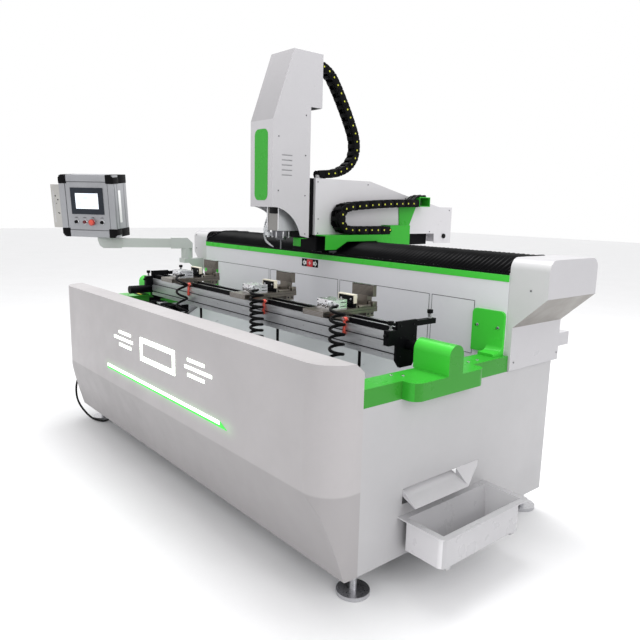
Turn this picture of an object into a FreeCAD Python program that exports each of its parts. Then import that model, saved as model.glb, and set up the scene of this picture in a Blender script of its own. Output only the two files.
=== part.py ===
import FreeCAD, Part
import math
import os
import re
import Sketcher

# A three axis machining centre for aluminium bars: a long base with a tilting clamp table,
# a gantry beam behind it, and a saddle that carries a ram and a spindle head.
# Millimetres. While it is laid out, X runs along the beam from the base's middle, Y runs
# backwards from the front edge of the side panels, and Z is the height above the floor.

Vector = FreeCAD.Vector
doc = FreeCAD.newDocument("MachiningCentre")
sheet = doc.addObject("Spreadsheet::Sheet", "Sheet")

SIZES = {
    "whole machine": [
        ("base_width", 2400, "outside of one side panel to the outside of the other"),
        ("base_depth", 1136, "front edge to rear edge of a side panel"),
        ("foot_height", 100, "floor to the lower edge of the panels"),
        ("bed_height", 692, "floor to the upper edge of the side panels"),
        ("skin", 3, "sheet of the covers and panels"),
        ("overrun", 5, "how far a cutting shape runs past what it cuts"),
        ("fit_gap", 0.05, "radial clearance of a shaft in its bore"),
        ("slide_gap", 0.3, "clearance between faces that slide past each other"),
        ("origin_back", 805.75, "front edge of the panels to the middle of the whole depth"),
        ("origin_side", -182.68, "middle of the base to the middle of the whole width"),
    ],
    "base frame and feet": [
        ("tube_side", 80, "square tube of the frame"),
        ("tube_wall", 5, "its wall"),
        ("foot_radius", 60, "levelling disc"),
        ("foot_disc", 14, "its thickness"),
        ("stem_radius", 12, "threaded stem"),
        ("nut_radius", 20, "lock nut across its corners"),
        ("nut_height", 18, "lock nut"),
        ("foot_inset", 58, "panel's outside to the stem's axis"),
        ("foot_front", 38, "front stem's axis"),
        ("foot_rear", 1090, "rear stem's axis"),
    ],
    "front shell": [
        ("shell_toe", 58, "how far the lower edge stands in front of the panels"),
        ("shell_reach", 152, "how far the front face stands in front of the panels"),
        ("shell_crease", 406, "height of the crease above the sloping foot"),
        ("shell_top", 845, "upper edge"),
        ("shell_lip", 37, "rear edge of the flat top, in front of the panels"),
        ("shell_bevel", 31, "drop of the bevel behind the flat top"),
        ("shell_corner", 120, "corner radius seen from above"),
        ("shell_back", 640, "lower edge of the shell's rear wall"),
    ],
    "lit panel": [
        ("light_proud", 1.5, "how far the lit pieces stand proud of the shell"),
        ("strip_left", -546, "left end of the long lit strip"),
        ("strip_right", 571, "right end of its lit part"),
        ("strip_height", 491, "its middle line"),
        ("strip_width", 24, "its width"),
        ("tip_length", 50, "green pointed end"),
        ("ring_left", -140, "lit ring"),
        ("ring_right", 204, "lit ring"),
        ("ring_low", 601, "lit ring"),
        ("ring_high", 711, "lit ring"),
        ("ring_line", 22, "width of its line"),
        ("bar_long", 220, "middle bar of a group"),
        ("bar_short", 138, "upper and lower bar of a group"),
        ("bar_width", 13, "one lit bar"),
        ("bar_pitch", 32, "one bar to the next"),
        ("bars_left", -445, "left end of the left group's middle bar"),
        ("bars_left_inset", 62, "left end of its short bars from that"),
        ("bars_right", 292, "left end of the right group's middle bar"),
        ("bars_right_inset", 24, "left end of its short bars from that"),
        ("bars_height", 665, "middle bar"),
    ],
    "chip chute and tray": [
        ("chute_front", 208, "front end of the opening in the side panel"),
        ("chute_corner", 510, "where the lower edge of the opening turns up"),
        ("chute_rear", 650, "rear tip of the opening"),
        ("chute_top", 358, "upper edge of the opening"),
        ("chute_low", 300, "lower edge of the opening"),
        ("chute_reach", 61, "how far the shelf stands out"),
        ("chute_drop", 8, "how far the shelf's outer edge lies above the opening's edge"),
        ("chute_slope", 0.42, "fall of the shelf for each unit of its length"),
        ("chute_inside", 230, "how far the shelf reaches into the base"),
        ("tray_front", 188, "front end of the tray"),
        ("tray_rear", 695, "rear end of the tray"),
        ("tray_reach", 210, "how far the tray stands out"),
        ("tray_rim", 258, "upper edge"),
        ("tray_floor", 134, "underside"),
        ("tray_lip", 26, "width of the turned edge"),
        ("tray_corner", 24, "outer vertical corners"),
        ("tray_wall_slope", 34, "how far each inner wall leans in at the bottom"),
        ("runner_width", 24, "slide under the tray"),
        ("runner_height", 12, "slide under the tray"),
        ("runner_inset", 50, "tray's end to the slide"),
    ],
    "chip pan": [
        ("pan_width", 2200, "along the machine"),
        ("pan_front", 645, "height at the front"),
        ("pan_low", 500, "height of its lowest part"),
        ("pan_low_front", 290, "front edge of its lowest part"),
        ("pan_low_rear", 420, "rear edge of its lowest part"),
        ("pan_rear", 712, "height at the rear"),
        ("outlet_length", 120, "opening at the right end of the lowest part"),
        ("outlet_depth", 90, "the same, across the machine"),
    ],
    "green end beams": [
        ("end_beam_width", 95, "along the machine"),
        ("end_beam_height", 64, "upper face above the side panel"),
        ("bump_reach", 61, "how far the bump stands out beyond the panel"),
        ("bump_front", 180, "front end of the bump"),
        ("bump_rear", 570, "rear end of the bump"),
        ("bump_corner", 40, "its outer corners"),
        ("arch_width", 79, "bearing cover across the machine"),
        ("arch_inner", 9, "how far the cover stands inside the end beam"),
        ("axis_depth", 388, "tilting axis behind the panels' front edge"),
        ("axis_height", 825, "tilting axis"),
        ("trunnion_radius", 20, "shaft of the table"),
        ("trunnion_inside", 60, "how far the shaft reaches into the cover"),
        ("bracket_inner", 79, "how far the corner bracket stands inside the end beam"),
        ("bracket_outer", 22, "corner bracket's end short of the panel's outside"),
        ("bracket_plate", 12, "its thickness"),
        ("bracket_top", 932, "its upper edge"),
        ("bracket_foot", 60, "its foot along the end beam"),
        ("bracket_corner", 20, "its upper corners"),
        ("bracket_hole", 5, "radius of its screw holes"),
        ("bracket_hole_drop", 71, "holes below the upper edge"),
    ],
    "gantry beam": [
        ("beam_front", 800, "front face of the beam's cover"),
        ("beam_depth", 264, "structural beam"),
        ("beam_low", 770, "its underside"),
        ("beam_high", 1060, "its upper face"),
        ("beam_wall", 12, "its wall"),
        ("beam_half", 1180, "middle of the machine to the beam's end"),
        ("beam_end_plate", 20, "plate at each end"),
        ("end_plate_high", 1100, "its upper edge"),
        ("column_width", 140, "column under each end"),
        ("cover_low", 700, "lower edge of the front cover"),
        ("cover_high", 1088, "upper edge of the front and rear covers"),
        ("stripe_low", 1052, "green stripe"),
        ("stripe_high", 1079, "green stripe"),
        ("door_top", 959, "upper edge of the access doors"),
        ("door_low", 735, "their lower edge"),
        ("door_gap", 16, "between two doors"),
        ("door_right", 1024, "right end of the last door"),
        ("door_long", 597, "each of the two middle doors"),
        ("door_short", 227, "door at the right end"),
        ("door_left", 579, "door at the left end"),
        ("door_proud", 1, "how far a door stands proud"),
        ("plate_right", 1195, "right end of the axis plate, from the right panel's outside"),
        ("plate_length", 139, "axis plate"),
        ("plate_low", 1005, "axis plate's lower edge"),
        ("plate_height", 42, "axis plate"),
        ("rail_width", 20, "linear rail of the long axis"),
        ("rail_height", 24, "its height"),
        ("rail_front", 850, "middle of the front rail"),
        ("rail_rear", 1010, "middle of the rear rail"),
    ],
    "end covers": [
        ("end_front", 803, "front face"),
        ("end_rear", 1173, "rear face"),
        ("end_top", 1150, "upper face"),
        ("end_reach", 168, "how far it stands out beyond the beam's end"),
        ("end_overhang", 1001, "underside of the wide part"),
        ("end_waist", 872, "where the slope meets the skirt"),
        ("skirt_reach", 28, "skirt beyond the beam's end"),
        ("skirt_low", 695, "lower edge of the skirt"),
        ("end_corner", 45, "rounded upper edges"),
        ("junction_depth", 97, "small box behind the right end cover"),
        ("junction_low", 749, "its underside"),
        ("junction_height", 58, "its height"),
        ("junction_width", 50, "its width"),
    ],
    "bellows": [
        ("roof_front", 800, "lower front edge"),
        ("roof_rise", 58, "top above the covers' upper edge"),
        ("roof_slope", 130, "depth of the front slope"),
        ("roof_flat", 115, "depth of the flat top"),
        ("roof_tail", 35, "depth of the rear slope"),
        ("roof_tail_rise", 37, "height of the upright rear edge"),
        ("roof_skin", 4, "thickness of the folded sheet"),
        ("fold_pitch", 24, "one fold to the next"),
        ("fold_width", 10, "a fold's crest"),
        ("fold_height", 5, "a fold's crest above its valley"),
        ("end_board", 10, "black board that the bellows are fixed to"),
    ],
    "saddle": [
        ("head_middle", 27.5, "middle of the saddle, ram and head along the beam"),
        ("saddle_half", 95.5, "half of the saddle's width"),
        ("saddle_front", 683, "front face"),
        ("saddle_rear", 1143, "rear face"),
        ("saddle_low", 1104, "underside"),
        ("saddle_high", 1180, "upper face"),
        ("saddle_wall", 12, "wall of the casting"),
        ("carriage_length", 62, "runner block"),
        ("carriage_side", 12, "runner block beside the rail"),
        ("carriage_drop", 18, "how far a block reaches down beside its rail"),
        ("carriage_spread", 60, "middle of the saddle to a block's middle"),
        ("chain_inner", 102.5, "chain's inner face from the saddle's middle"),
        ("bracket_reach", 172.5, "outer face of the chain bracket from the saddle's middle"),
        ("trough_top", 1189, "upper face of the chain bracket"),
        ("trough_foot", 754, "rear edge of its front foot"),
        ("trough_low", 1116, "its lower edge"),
        ("arch_front", 829, "where its arch turns flat"),
        ("arch_rear", 1040, "where its arch turns down"),
        ("arch_end", 1100, "rear end of the arch"),
        ("arch_top", 1156, "height of the arch"),
        ("tab_rear", 1302, "rear end of the raised tab"),
        ("tab_top", 1238, "top of the raised tab"),
        ("trough_sheet", 6, "thickness of its plates"),
    ],
    "drag chains": [
        ("chain_pitch", 46, "one link to the next"),
        ("chain_height", 44, "a link across the bend"),
        ("chain_bend", 60, "radius of the bend at the link's middle"),
        ("chain_rise", 29, "rise of the upper run from the bend to its rear end"),
        ("chain_half_rise", 20, "rise of the upper run at half of its length"),
        ("chain_low", 1211.3, "middle of the lower run"),
        ("chain_low_end", 1142.7, "rear end of the lower run"),
        ("chain_high_end", 1371.7, "rear end of the upper run"),
        ("bend_middle", 843, "centre of the bend"),
        ("link_gap", 0.8, "between two links"),
        ("tall_chain_inner", 38, "tall chain's inner face from the head's middle"),
        ("tall_chain_width", 54, "width of the tall chain"),
        ("tall_chain_height", 42, "a link of the tall chain across the bend"),
        ("tall_chain_links", 18, "number of links in the tall chain"),
    ],
    "ram": [
        ("ram_half", 92.5, "half of the cover's width"),
        ("ram_front", 676, "front of the cover"),
        ("ram_top", 1468, "upper face"),
        ("ram_low", 1187, "lower edge"),
        ("ram_slope_front", 1057, "where the top starts to fall"),
        ("ram_knee", 1345, "first bend of the falling top"),
        ("ram_knee_height", 1402, "its height"),
        ("ram_slope_rear", 1648, "end of the fall"),
        ("ram_tail_height", 1343, "height of the tail"),
        ("ram_rear", 1765, "rear end of the cover"),
        ("ram_tail_low", 1129, "lower edge of the tail"),
        ("notch_rear", 1609, "front edge of the tail's lower part"),
        ("ram_beam_half", 62.5, "half of the inner beam's width"),
        ("ram_beam_low", 1210, "its underside"),
        ("ram_beam_high", 1390, "its upper face"),
        ("ram_beam_rear", 1345, "its rear end"),
        ("ram_beam_wall", 10, "its wall"),
        ("face_plate", 20, "thickness of the front plate"),
        ("face_half", 77.5, "half of its width"),
        ("ram_rail_spread", 42, "middle of the ram to each rail"),
        ("ram_rail_width", 20, "rail under the ram"),
        ("ram_rail_height", 18, "rail under the ram"),
        ("motor_front", 1357, "front of the motor"),
        ("motor_rear", 1593, "rear of the motor"),
        ("motor_low", 1121, "its underside"),
        ("motor_high", 1188, "its upper face"),
        ("motor_half", 47, "half of its width"),
        ("plug_radius", 14, "cable plug in the tail's side"),
        ("plug_depth", 1694, "its place behind the panels' front edge"),
        ("plug_height", 1171, "its height"),
        ("plug_proud", 8, "how far it stands proud"),
        ("arm_front", 1372, "front of the green arm"),
        ("arm_rear", 1463, "its rear"),
        ("arm_low", 1342, "its underside"),
        ("arm_high", 1396, "its upper face"),
        ("arm_wall", 5, "its wall"),
        ("gusset_sheet", 6, "plate on the ram's side"),
        ("gusset_front", 1285, "its upper front corner"),
        ("gusset_rear", 1429, "its upper rear corner"),
        ("gusset_low_front", 1294, "its lower front corner"),
        ("gusset_low_rear", 1362, "its lower rear corner"),
        ("gusset_low", 1205, "its lower edge"),
    ],
    "head": [
        ("head_front", 410, "front face"),
        ("head_low", 1321, "lower front edge"),
        ("head_knee", 1725, "where the front starts to lean back"),
        ("head_brow", 530, "front edge of the top"),
        ("head_top", 2055, "top"),
        ("head_step", 1802, "height of the step in the back"),
        ("head_back_top", 708, "back above the step"),
        ("head_back", 638, "back below the step"),
        ("head_heel", 1172, "lower rear corner"),
        ("head_toe", 583, "front of the lower rear corner"),
        ("head_toe_height", 1183, "its height"),
        ("head_arc_front", 433, "where the curved lower edge starts"),
        ("head_arc_middle", 519, "a point on the curved lower edge"),
        ("head_arc_height", 1283, "its height"),
        ("vent_front", 465, "cooling slots"),
        ("vent_rear", 526, "cooling slots"),
        ("vent_low", 1474, "lowest slot"),
        ("vent_high", 1567, "highest slot"),
        ("vent_width", 6, "a slot"),
        ("inlay_half", 54, "half of the green inlay's width"),
        ("inlay_low", 1353, "green inlay"),
        ("inlay_high", 1685, "green inlay"),
        ("inlay_corner", 30, "green inlay"),
        ("inlay_proud", 1.5, "green inlay"),
        ("back_plate", 18, "slide plate at the head's back"),
        ("back_plate_high", 1790, "its upper edge"),
        ("back_plate_half", 70, "half of its width"),
        ("head_rail_width", 20, "rail on the slide plate"),
        ("head_rail_height", 14, "rail on the slide plate"),
        ("head_rail_spread", 46, "middle of the head to each rail"),
        ("spindle_depth", 533, "spindle's axis"),
        ("spindle_half", 50, "half of the spindle housing's width"),
        ("spindle_low", 1207, "underside of the housing"),
        ("spindle_high", 1560, "its top"),
        ("flange_radius", 46, "black flange"),
        ("flange_height", 29, "black flange"),
        ("nose_radius", 18, "spindle shaft"),
        ("nose_low", 1162, "lower end of the collet nut"),
        ("collet_radius", 25, "collet nut"),
        ("collet_height", 16, "collet nut"),
        ("shaft_inside", 93, "spindle shaft inside the housing"),
        ("tool_radius", 4, "milling cutter"),
        ("tool_low", 1114, "its tip"),
        ("stop_side", 20.5, "green angle under the slide plate, from the head's middle"),
        ("stop_block_depth", 44, "green angle"),
        ("stop_block_height", 42, "green angle"),
        ("stop_block_width", 59, "green angle"),
        ("stop_sheet", 5, "green angle"),
        ("lift_motor_side", 110, "motor in the head's top"),
        ("lift_motor_low", 1830, "its underside"),
        ("lift_motor_height", 160, "its height"),
        ("coolant_radius", 6, "segmented coolant hose"),
    ],
    "table": [
        ("table_half", 1020, "middle of the machine to the table's end"),
        ("table_front", 326, "front face of the table beam"),
        ("table_depth", 110, "table beam"),
        ("table_low", 769, "its underside"),
        ("table_high", 870, "its upper face"),
        ("table_wall", 10, "its wall"),
        ("groove_width", 10, "long groove in the front and rear faces"),
        ("groove_depth", 5, "long groove"),
        ("groove_low", 791, "middle of the lower groove"),
        ("groove_high", 844, "middle of the upper groove"),
        ("table_rail_width", 20, "rail on the table"),
        ("table_rail_height", 22, "rail on the table"),
        ("table_rail_inset", 25, "table's face to a rail's middle"),
        ("end_plate", 12, "black end plate"),
        ("end_plate_low", 740, "its lower edge"),
        ("end_plate_top", 917, "its upper edge"),
        ("end_plate_taper", 22, "how far its lower end is drawn in"),
        ("stop_reach", 45, "front stop in front of the end plate"),
        ("stop_low", 830, "front stop"),
        ("stop_high", 886, "front stop"),
        ("stop_width", 26, "front stop along the machine"),
        ("stop_arm_reach", 109, "rear stop arm behind the end plate"),
        ("stop_arm_low", 891, "rear stop arm"),
        ("stop_arm_high", 911, "rear stop arm"),
        ("stop_screw_radius", 5, "upright screw of a stop"),
        ("stop_screw_length", 60, "upright screw of a stop"),
        ("stop_knob_radius", 11, "its knob"),
        ("stop_knob_height", 14, "its knob"),
        ("gearbox_side", 94, "tilting gearbox"),
        ("gearbox_width", 50, "tilting gearbox along the machine"),
        ("tilt_motor_radius", 24, "tilting motor"),
        ("tilt_motor_length", 140, "tilting motor"),
    ],
    "clamps": [
        ("clamp_one", -650, "middle of the left clamp"),
        ("clamp_two", 80, "middle of the second clamp"),
        ("clamp_three", 645, "middle of the right clamp"),
        ("clamp_half", 65, "half of a clamp's width"),
        ("clamp_front", 240, "front edge of the base plate"),
        ("clamp_rear", 545, "rear edge of the base plate"),
        ("clamp_plate", 22, "base plate"),
        ("shoe_drop", 16, "shoes beside the table's rails"),
        ("shoe_side", 8, "shoes beside the table's rails"),
        ("cylinder_front", 303, "air cylinder"),
        ("cylinder_rear", 380, "air cylinder"),
        ("cylinder_half", 50, "half of its width"),
        ("cylinder_height", 40, "air cylinder"),
        ("rod_radius", 6, "guide rod of the jaw"),
        ("rod_spread", 34, "middle of the clamp to a rod"),
        ("rod_length", 112, "guide rod inside the cylinder"),
        ("jaw_back", 421, "back of the moving jaw"),
        ("jaw_depth", 17, "moving jaw"),
        ("jaw_high", 969, "top of the moving jaw's cap"),
        ("jaw_half", 50, "half of the cap's width"),
        ("cap_wall", 5, "cap over the jaw"),
        ("cap_lift", 18, "base plate to the cap's lower edge"),
        ("fixed_jaw_front", 516, "gripping face of the fixed jaw"),
        ("fixed_jaw_depth", 20, "fixed jaw"),
        ("fixed_jaw_low", 956, "fixed jaw"),
        ("fixed_jaw_high", 1005, "fixed jaw"),
        ("post_half", 30, "half of the fixed jaw's post"),
        ("counter_drop", 25, "block under the base plate's rear"),
        ("counter_half", 45, "half of that block's width"),
        ("lever_offset", 102, "middle of the clamp to the lever's hub"),
        ("lock_reach", 50, "lock block of the lever beyond the clamp's side"),
        ("hub_radius", 9, "lever's hub"),
        ("hub_length", 16, "lever's hub"),
        ("lever_length", 64, "lever"),
        ("lever_width", 11, "lever"),
        ("lever_thickness", 8, "lever"),
        ("hose_radius", 5, "air hose"),
        ("hose_inset", 17, "cylinder's front to the hose's fitting"),
        ("coil_side", 107, "middle of the clamp to the coil's middle"),
        ("coil_radius", 28, "hose coil at the hose's middle"),
        ("coil_clearance", 15, "coil in front of the table"),
        ("coil_low", 672, "lowest turn"),
        ("hose_bend", 22, "bend at the hose's lower end"),
        ("fitting_length", 14, "fitting under the table"),
        ("fitting_radius", 7, "fitting under the table"),
    ],
    "control pendant": [
        ("elbow_side", -1270, "upright axis of the arm"),
        ("elbow_depth", 701, "the same"),
        ("post_low", 800, "lower end of the post's gusset"),
        ("post_plate_low", 934, "underside of the post's plate"),
        ("post_plate_high", 964, "its upper face"),
        ("collar_radius", 38, "collar of the arm"),
        ("collar_high", 1034, "top of the collar"),
        ("arm_width", 60, "square tube of the arm"),
        ("arm_axis_height", 1066, "its middle"),
        ("arm_end_side", -1500, "upright axis of the swivel under the box"),
        ("arm_end_depth", 227, "the same"),
        ("swivel_radius", 42, "swivel under the box"),
        ("swivel_high", 1098, "top of the arm's swivel"),
        ("housing_over", 6, "how far the arm's end housings stand over its tube"),
        ("housing_length", 105, "how far each housing reaches along the tube"),
        ("housing_bevel", 34, "bevel on a housing's outer corner"),
        ("neck_radius", 34, "neck of the box"),
        ("box_side_middle", -1514, "middle of the box's front face"),
        ("box_depth_middle", 128, "the same"),
        ("box_height_middle", 1297, "the same"),
        ("box_turn_degrees", 36, "turn of the box about the upright axis, degrees"),
        ("box_lean_degrees", 5, "lean of the box, degrees"),
        ("box_width", 390, "pendant box"),
        ("box_height", 390, "pendant box"),
        ("box_depth", 150, "pendant box"),
        ("box_wall", 4, "pendant box"),
        ("wing_reach", 66, "plate on the box's left side"),
        ("wing_low", -142, "its lower edge from the box's middle"),
        ("wing_high", 135, "its upper edge from the box's middle"),
        ("corner_cap", 52, "black corner cap"),
        ("cap_proud", 4, "how far a cap stands proud"),
        ("bezel_width", 234, "screen frame"),
        ("bezel_height", 168, "screen frame"),
        ("bezel_proud", 5, "screen frame"),
        ("bezel_middle", 33, "screen above the box's middle"),
        ("glass_width", 165, "screen"),
        ("glass_height", 99, "screen"),
        ("button_row", -101, "buttons below the box's middle"),
        ("button_one", -90, "first button from the box's middle"),
        ("button_two", -29, "second button"),
        ("button_three", 30, "emergency stop"),
        ("button_four", 97, "last button"),
        ("button_radius", 11, "a button"),
        ("button_proud", 12, "a button"),
        ("button_travel", 4, "how far a button goes in"),
        ("button_ring", 15, "ring round a button"),
        ("ring_proud", 5, "ring round a button"),
        ("stop_radius", 20, "mushroom of the emergency stop"),
        ("stop_head", 12, "its thickness"),
    ],
    "supply cable": [
        ("cable_radius", 6, "cable"),
        ("lead_block_reach", 40, "block on the left panel that the cable leaves"),
        ("lead_block_front", 60, "its front face"),
        ("lead_block_depth", 40, "its depth"),
        ("lead_block_low", 312, "its underside"),
        ("lead_block_height", 36, "its height"),
        ("inlet_side", -1004, "ring under the frame that the cable enters"),
        ("inlet_radius", 14, "the ring"),
        ("inlet_length", 18, "the ring"),
    ],
}

NAMES = set()


def fill_sheet():
    """One row for each size: what it is, its name and its value."""
    row = 0
    for group, sizes in SIZES.items():
        row += 1
        sheet.set(f"A{row}", group)
        for name, number, note in sizes:
            row += 1
            sheet.set(f"A{row}", note)
            sheet.set(f"B{row}", name)
            sheet.set(f"C{row}", str(number))
            sheet.setAlias(f"C{row}", name)
            NAMES.add(name)
    doc.recompute()


def value(name):
    """A named size as a plain number."""
    return float(sheet.get(name))


def cells(expression):
    """An expression with each name written as the cell that holds it."""
    return re.sub(
        r"[a-z][a-z_]*",
        lambda word: "Sheet." + word.group() if word.group() in NAMES else word.group(),
        expression,
    )


def bind(thing, prop, expression):
    thing.setExpression(prop, cells(expression))


def place(thing, side, depth, height):
    """Puts an object at a point given by three expressions."""
    for axis, expression in zip("xyz", (side, depth, height)):
        bind(thing, f"Placement.Base.{axis}", expression)
    return thing


def box(name, side, depth, height):
    """A block between three pairs of expressions."""
    thing = doc.addObject("Part::Box", name)
    for prop, (low, high) in zip(("Length", "Width", "Height"), (side, depth, height)):
        bind(thing, prop, f"({high}) - ({low})")
    return place(thing, side[0], depth[0], height[0])


TURNS = {
    "x": FreeCAD.Rotation(Vector(0, 1, 0), 90),
    "y": FreeCAD.Rotation(Vector(1, 0, 0), -90),
    "z": FreeCAD.Rotation(),
}


def cylinder(name, axis, radius, low, high, centre):
    """A round bar along an axis, from low to high. centre holds the other two places."""
    thing = doc.addObject("Part::Cylinder", name)
    bind(thing, "Radius", radius)
    bind(thing, "Height", f"({high}) - ({low})")
    thing.Placement = FreeCAD.Placement(Vector(), TURNS[axis])
    spot = list(centre)
    spot.insert("xyz".index(axis), low)
    return place(thing, *spot)


PLANES = {
    "x": ("YZ_Plane", 1, False),
    "y": ("XZ_Plane", -1, True),
    "z": ("XY_Plane", 1, False),
}


def prism(name, axis, points, low, high):
    """A plate along an axis, from low to high, with an outline of straight lines.

    The points are pairs of expressions: y and z on a plate along x, x and z along y,
    x and y along z."""
    plane, sign, backwards = PLANES[axis]
    body = doc.addObject("PartDesign::Body", name)
    sketch = body.newObject("Sketcher::SketchObject", name + "_outline")
    role = [f for f in body.Origin.OriginFeatures if f.Role == plane][0]
    sketch.AttachmentSupport = [(role, "")]
    sketch.MapMode = "FlatFace"
    bind(sketch, "AttachmentOffset.Base.z", low if sign > 0 else f"-({low})")
    count = len(points)
    ring = [
        Vector(math.cos(math.tau * n / count), math.sin(math.tau * n / count), 0)
        for n in range(count)
    ]
    for n in range(count):
        sketch.addGeometry(Part.LineSegment(ring[n], ring[(n + 1) % count]), False)
    for n in range(count):
        sketch.addConstraint(
            Sketcher.Constraint("Coincident", n, 2, (n + 1) % count, 1)
        )
    for n, (across, up) in enumerate(points):
        for kind, expression, start in (
            ("DistanceX", across, ring[n].x),
            ("DistanceY", up, ring[n].y),
        ):
            index = sketch.addConstraint(
                Sketcher.Constraint(kind, -1, 1, n, 1, start)
            )
            bind(sketch, f"Constraints[{index}]", expression)
    pad = body.newObject("PartDesign::Pad", name + "_pad")
    pad.Profile = sketch
    pad.Reversed = backwards
    bind(pad, "Length", f"({high}) - ({low})")
    return body


def cut(name, base, *tools):
    """The base without the tools."""
    thing = doc.addObject("Part::Cut", name)
    thing.Base = base
    thing.Tool = tools[0] if len(tools) == 1 else fuse(name + "_tools", *tools)
    return thing


def fuse(name, *parts):
    thing = doc.addObject("Part::MultiFuse", name)
    thing.Shapes = list(parts)
    thing.Refine = True
    return thing


def common(name, *parts):
    thing = doc.addObject("Part::MultiCommon", name)
    thing.Shapes = list(parts)
    return thing


def mirrored(name, source):
    """The same piece at the machine's other end."""
    thing = doc.addObject("Part::Mirroring", name)
    thing.Source = source
    thing.Base = Vector()
    thing.Normal = Vector(1, 0, 0)
    return thing


def edges_at(shape, along, **spots):
    """Numbers of the edges that run along an axis, at the given places."""
    found = []
    tolerance = value("slide_gap")
    for number, edge in enumerate(shape.Edges, 1):
        ends = [vertex.Point for vertex in edge.Vertexes]
        run = ends[-1] - ends[0]
        if abs(abs(getattr(run, along)) - run.Length) > tolerance:
            continue
        if all(
            min(abs(getattr(end, axis) - spot) for spot in places) < tolerance
            for end in ends
            for axis, places in spots.items()
        ):
            found.append(number)
    return found


def rounded(name, base, radius, along, **spots):
    """The base with the edges at the given places rounded to a named radius."""
    doc.recompute()
    thing = doc.addObject("Part::Fillet", name)
    thing.Base = base
    numbers = edges_at(base.Shape, along, **spots)
    thing.Edges = [(number, value(radius), value(radius)) for number in numbers]
    return thing


def solid(name, shape):
    """A free shape as an object of the document."""
    thing = doc.addObject("Part::Feature", name)
    thing.Shape = shape
    return thing


NODES = {}


def node(label, *parts):
    """Adds pieces to a named sub-part."""
    NODES.setdefault(label, []).extend(parts)


def subparts():
    """The named sub-parts, moved so that the origin is where it should be."""
    found = []
    for label, parts in NODES.items():
        thing = doc.addObject("Part::Compound", "part_" + label)
        thing.Label = label
        thing.Links = parts
        place(thing, "-origin_side", "-origin_back", "0")
        found.append(thing)
    return found


def square_tube(name, axis, side, depth, height, wall):
    """A hollow tube along an axis, open at both ends."""
    pairs = dict(zip("xyz", (side, depth, height)))
    inner = {
        key: (low, high) if key == axis else (f"{low} + {wall}", f"{high} - {wall}")
        for key, (low, high) in pairs.items()
    }
    low, high = pairs[axis]
    inner[axis] = (f"{low} - overrun", f"{high} + overrun")
    return cut(
        name,
        box(name + "_outside", side, depth, height),
        box(name + "_inside", inner["x"], inner["y"], inner["z"]),
    )


PANEL = "base_width / 2"


def base_frame():
    """Welded square tubes: a portal at each end, joined by long tubes."""
    outside = f"{PANEL} - skin"
    inside = f"{outside} - tube_side"
    rear = "base_depth - skin"
    low = ("foot_height", "foot_height + tube_side")
    high = ("bed_height - tube_side", "bed_height")
    side = (inside, outside)
    parts = [
        square_tube("lower_rail", "y", side, ("skin", rear), low, "tube_wall"),
        square_tube("upper_rail", "y", side, ("skin", rear), high, "tube_wall"),
        square_tube(
            "front_post", "z", side, ("skin", "skin + tube_side"), (low[1], high[0]), "tube_wall"
        ),
        square_tube(
            "rear_post", "z", side, (f"{rear} - tube_side", rear), (low[1], high[0]), "tube_wall"
        ),
    ]
    parts += [mirrored("left_" + part.Name, part) for part in parts]
    long = (f"-({inside})", inside)
    parts += [
        square_tube("front_tie", "x", long, ("skin", "skin + tube_side"), low, "tube_wall"),
        square_tube("rear_tie", "x", long, (f"{rear} - tube_side", rear), low, "tube_wall"),
        square_tube("high_tie", "x", long, (f"{rear} - tube_side", rear), high, "tube_wall"),
    ]
    node("base_frame", *parts)


def levelling_feet():
    parts = []
    for sign, end in (("", "right"), ("-", "left")):
        for spot in ("foot_front", "foot_rear"):
            middle = (f"{sign}({PANEL} - foot_inset)", spot)
            name = f"{end}_{spot}"
            disc = cylinder(name + "_disc", "z", "foot_radius", "0", "foot_disc", middle)
            stem = cylinder(name + "_stem", "z", "stem_radius", "foot_disc", "foot_height", middle)
            parts.append(fuse(name, disc, stem))
            nut = doc.addObject("Part::Prism", name + "_nut_blank")
            nut.Polygon = 6
            bind(nut, "Circumradius", "nut_radius")
            bind(nut, "Height", "nut_height")
            place(nut, *middle, "foot_height - nut_height")
            hole = cylinder(
                name + "_hole",
                "z",
                "stem_radius + fit_gap",
                "foot_height - nut_height - overrun",
                "foot_height + overrun",
                middle,
            )
            parts.append(cut(name + "_nut", nut, hole))
    node("levelling_feet", *parts)


def front_shell():
    """A long hollow cover with a sloping foot, a flat top and round ends."""

    def body(name, inset, front, top, back):
        section = prism(
            name + "_section",
            "x",
            [
                (back, f"foot_height + {inset}"),
                (f"-shell_toe + {front}", f"foot_height + {inset}"),
                (f"-shell_reach + {front}", "shell_crease"),
                (f"-shell_reach + {front}", f"shell_top - {top}"),
                (f"-shell_lip - {top} / 2", f"shell_top - {top}"),
                (f"-{inset}", f"shell_top - shell_bevel - {inset}"),
            ]
            + ([] if inset == "0" else [("-skin", "shell_back"), (back, "shell_back")]),
            f"-{PANEL} + {inset}",
            f"{PANEL} - {inset}",
        )
        plan = prism(
            name + "_plan",
            "z",
            [
                (f"-{PANEL} + {inset}", back),
                (f"-{PANEL} + {inset}", f"-shell_reach + {front}"),
                (f"{PANEL} - {inset}", f"-shell_reach + {front}"),
                (f"{PANEL} - {inset}", back),
            ],
            "0",
            "shell_top + overrun",
        )
        half = value("base_width") / 2 - (value("skin") if inset == "skin" else 0)
        front_face = -value("shell_reach") + (value("skin") if inset == "skin" else 0)
        round_plan = rounded(
            name + "_round", plan, "shell_corner", "z", x=(-half, half), y=(front_face,)
        )
        return common(name, section, round_plan)

    outside = body("shell_outside", "0", "0", "0", "0")
    inside = body("shell_inside", "skin", "skin", "skin", "overrun")
    node("front_shell", cut("shell", outside, inside))


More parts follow.
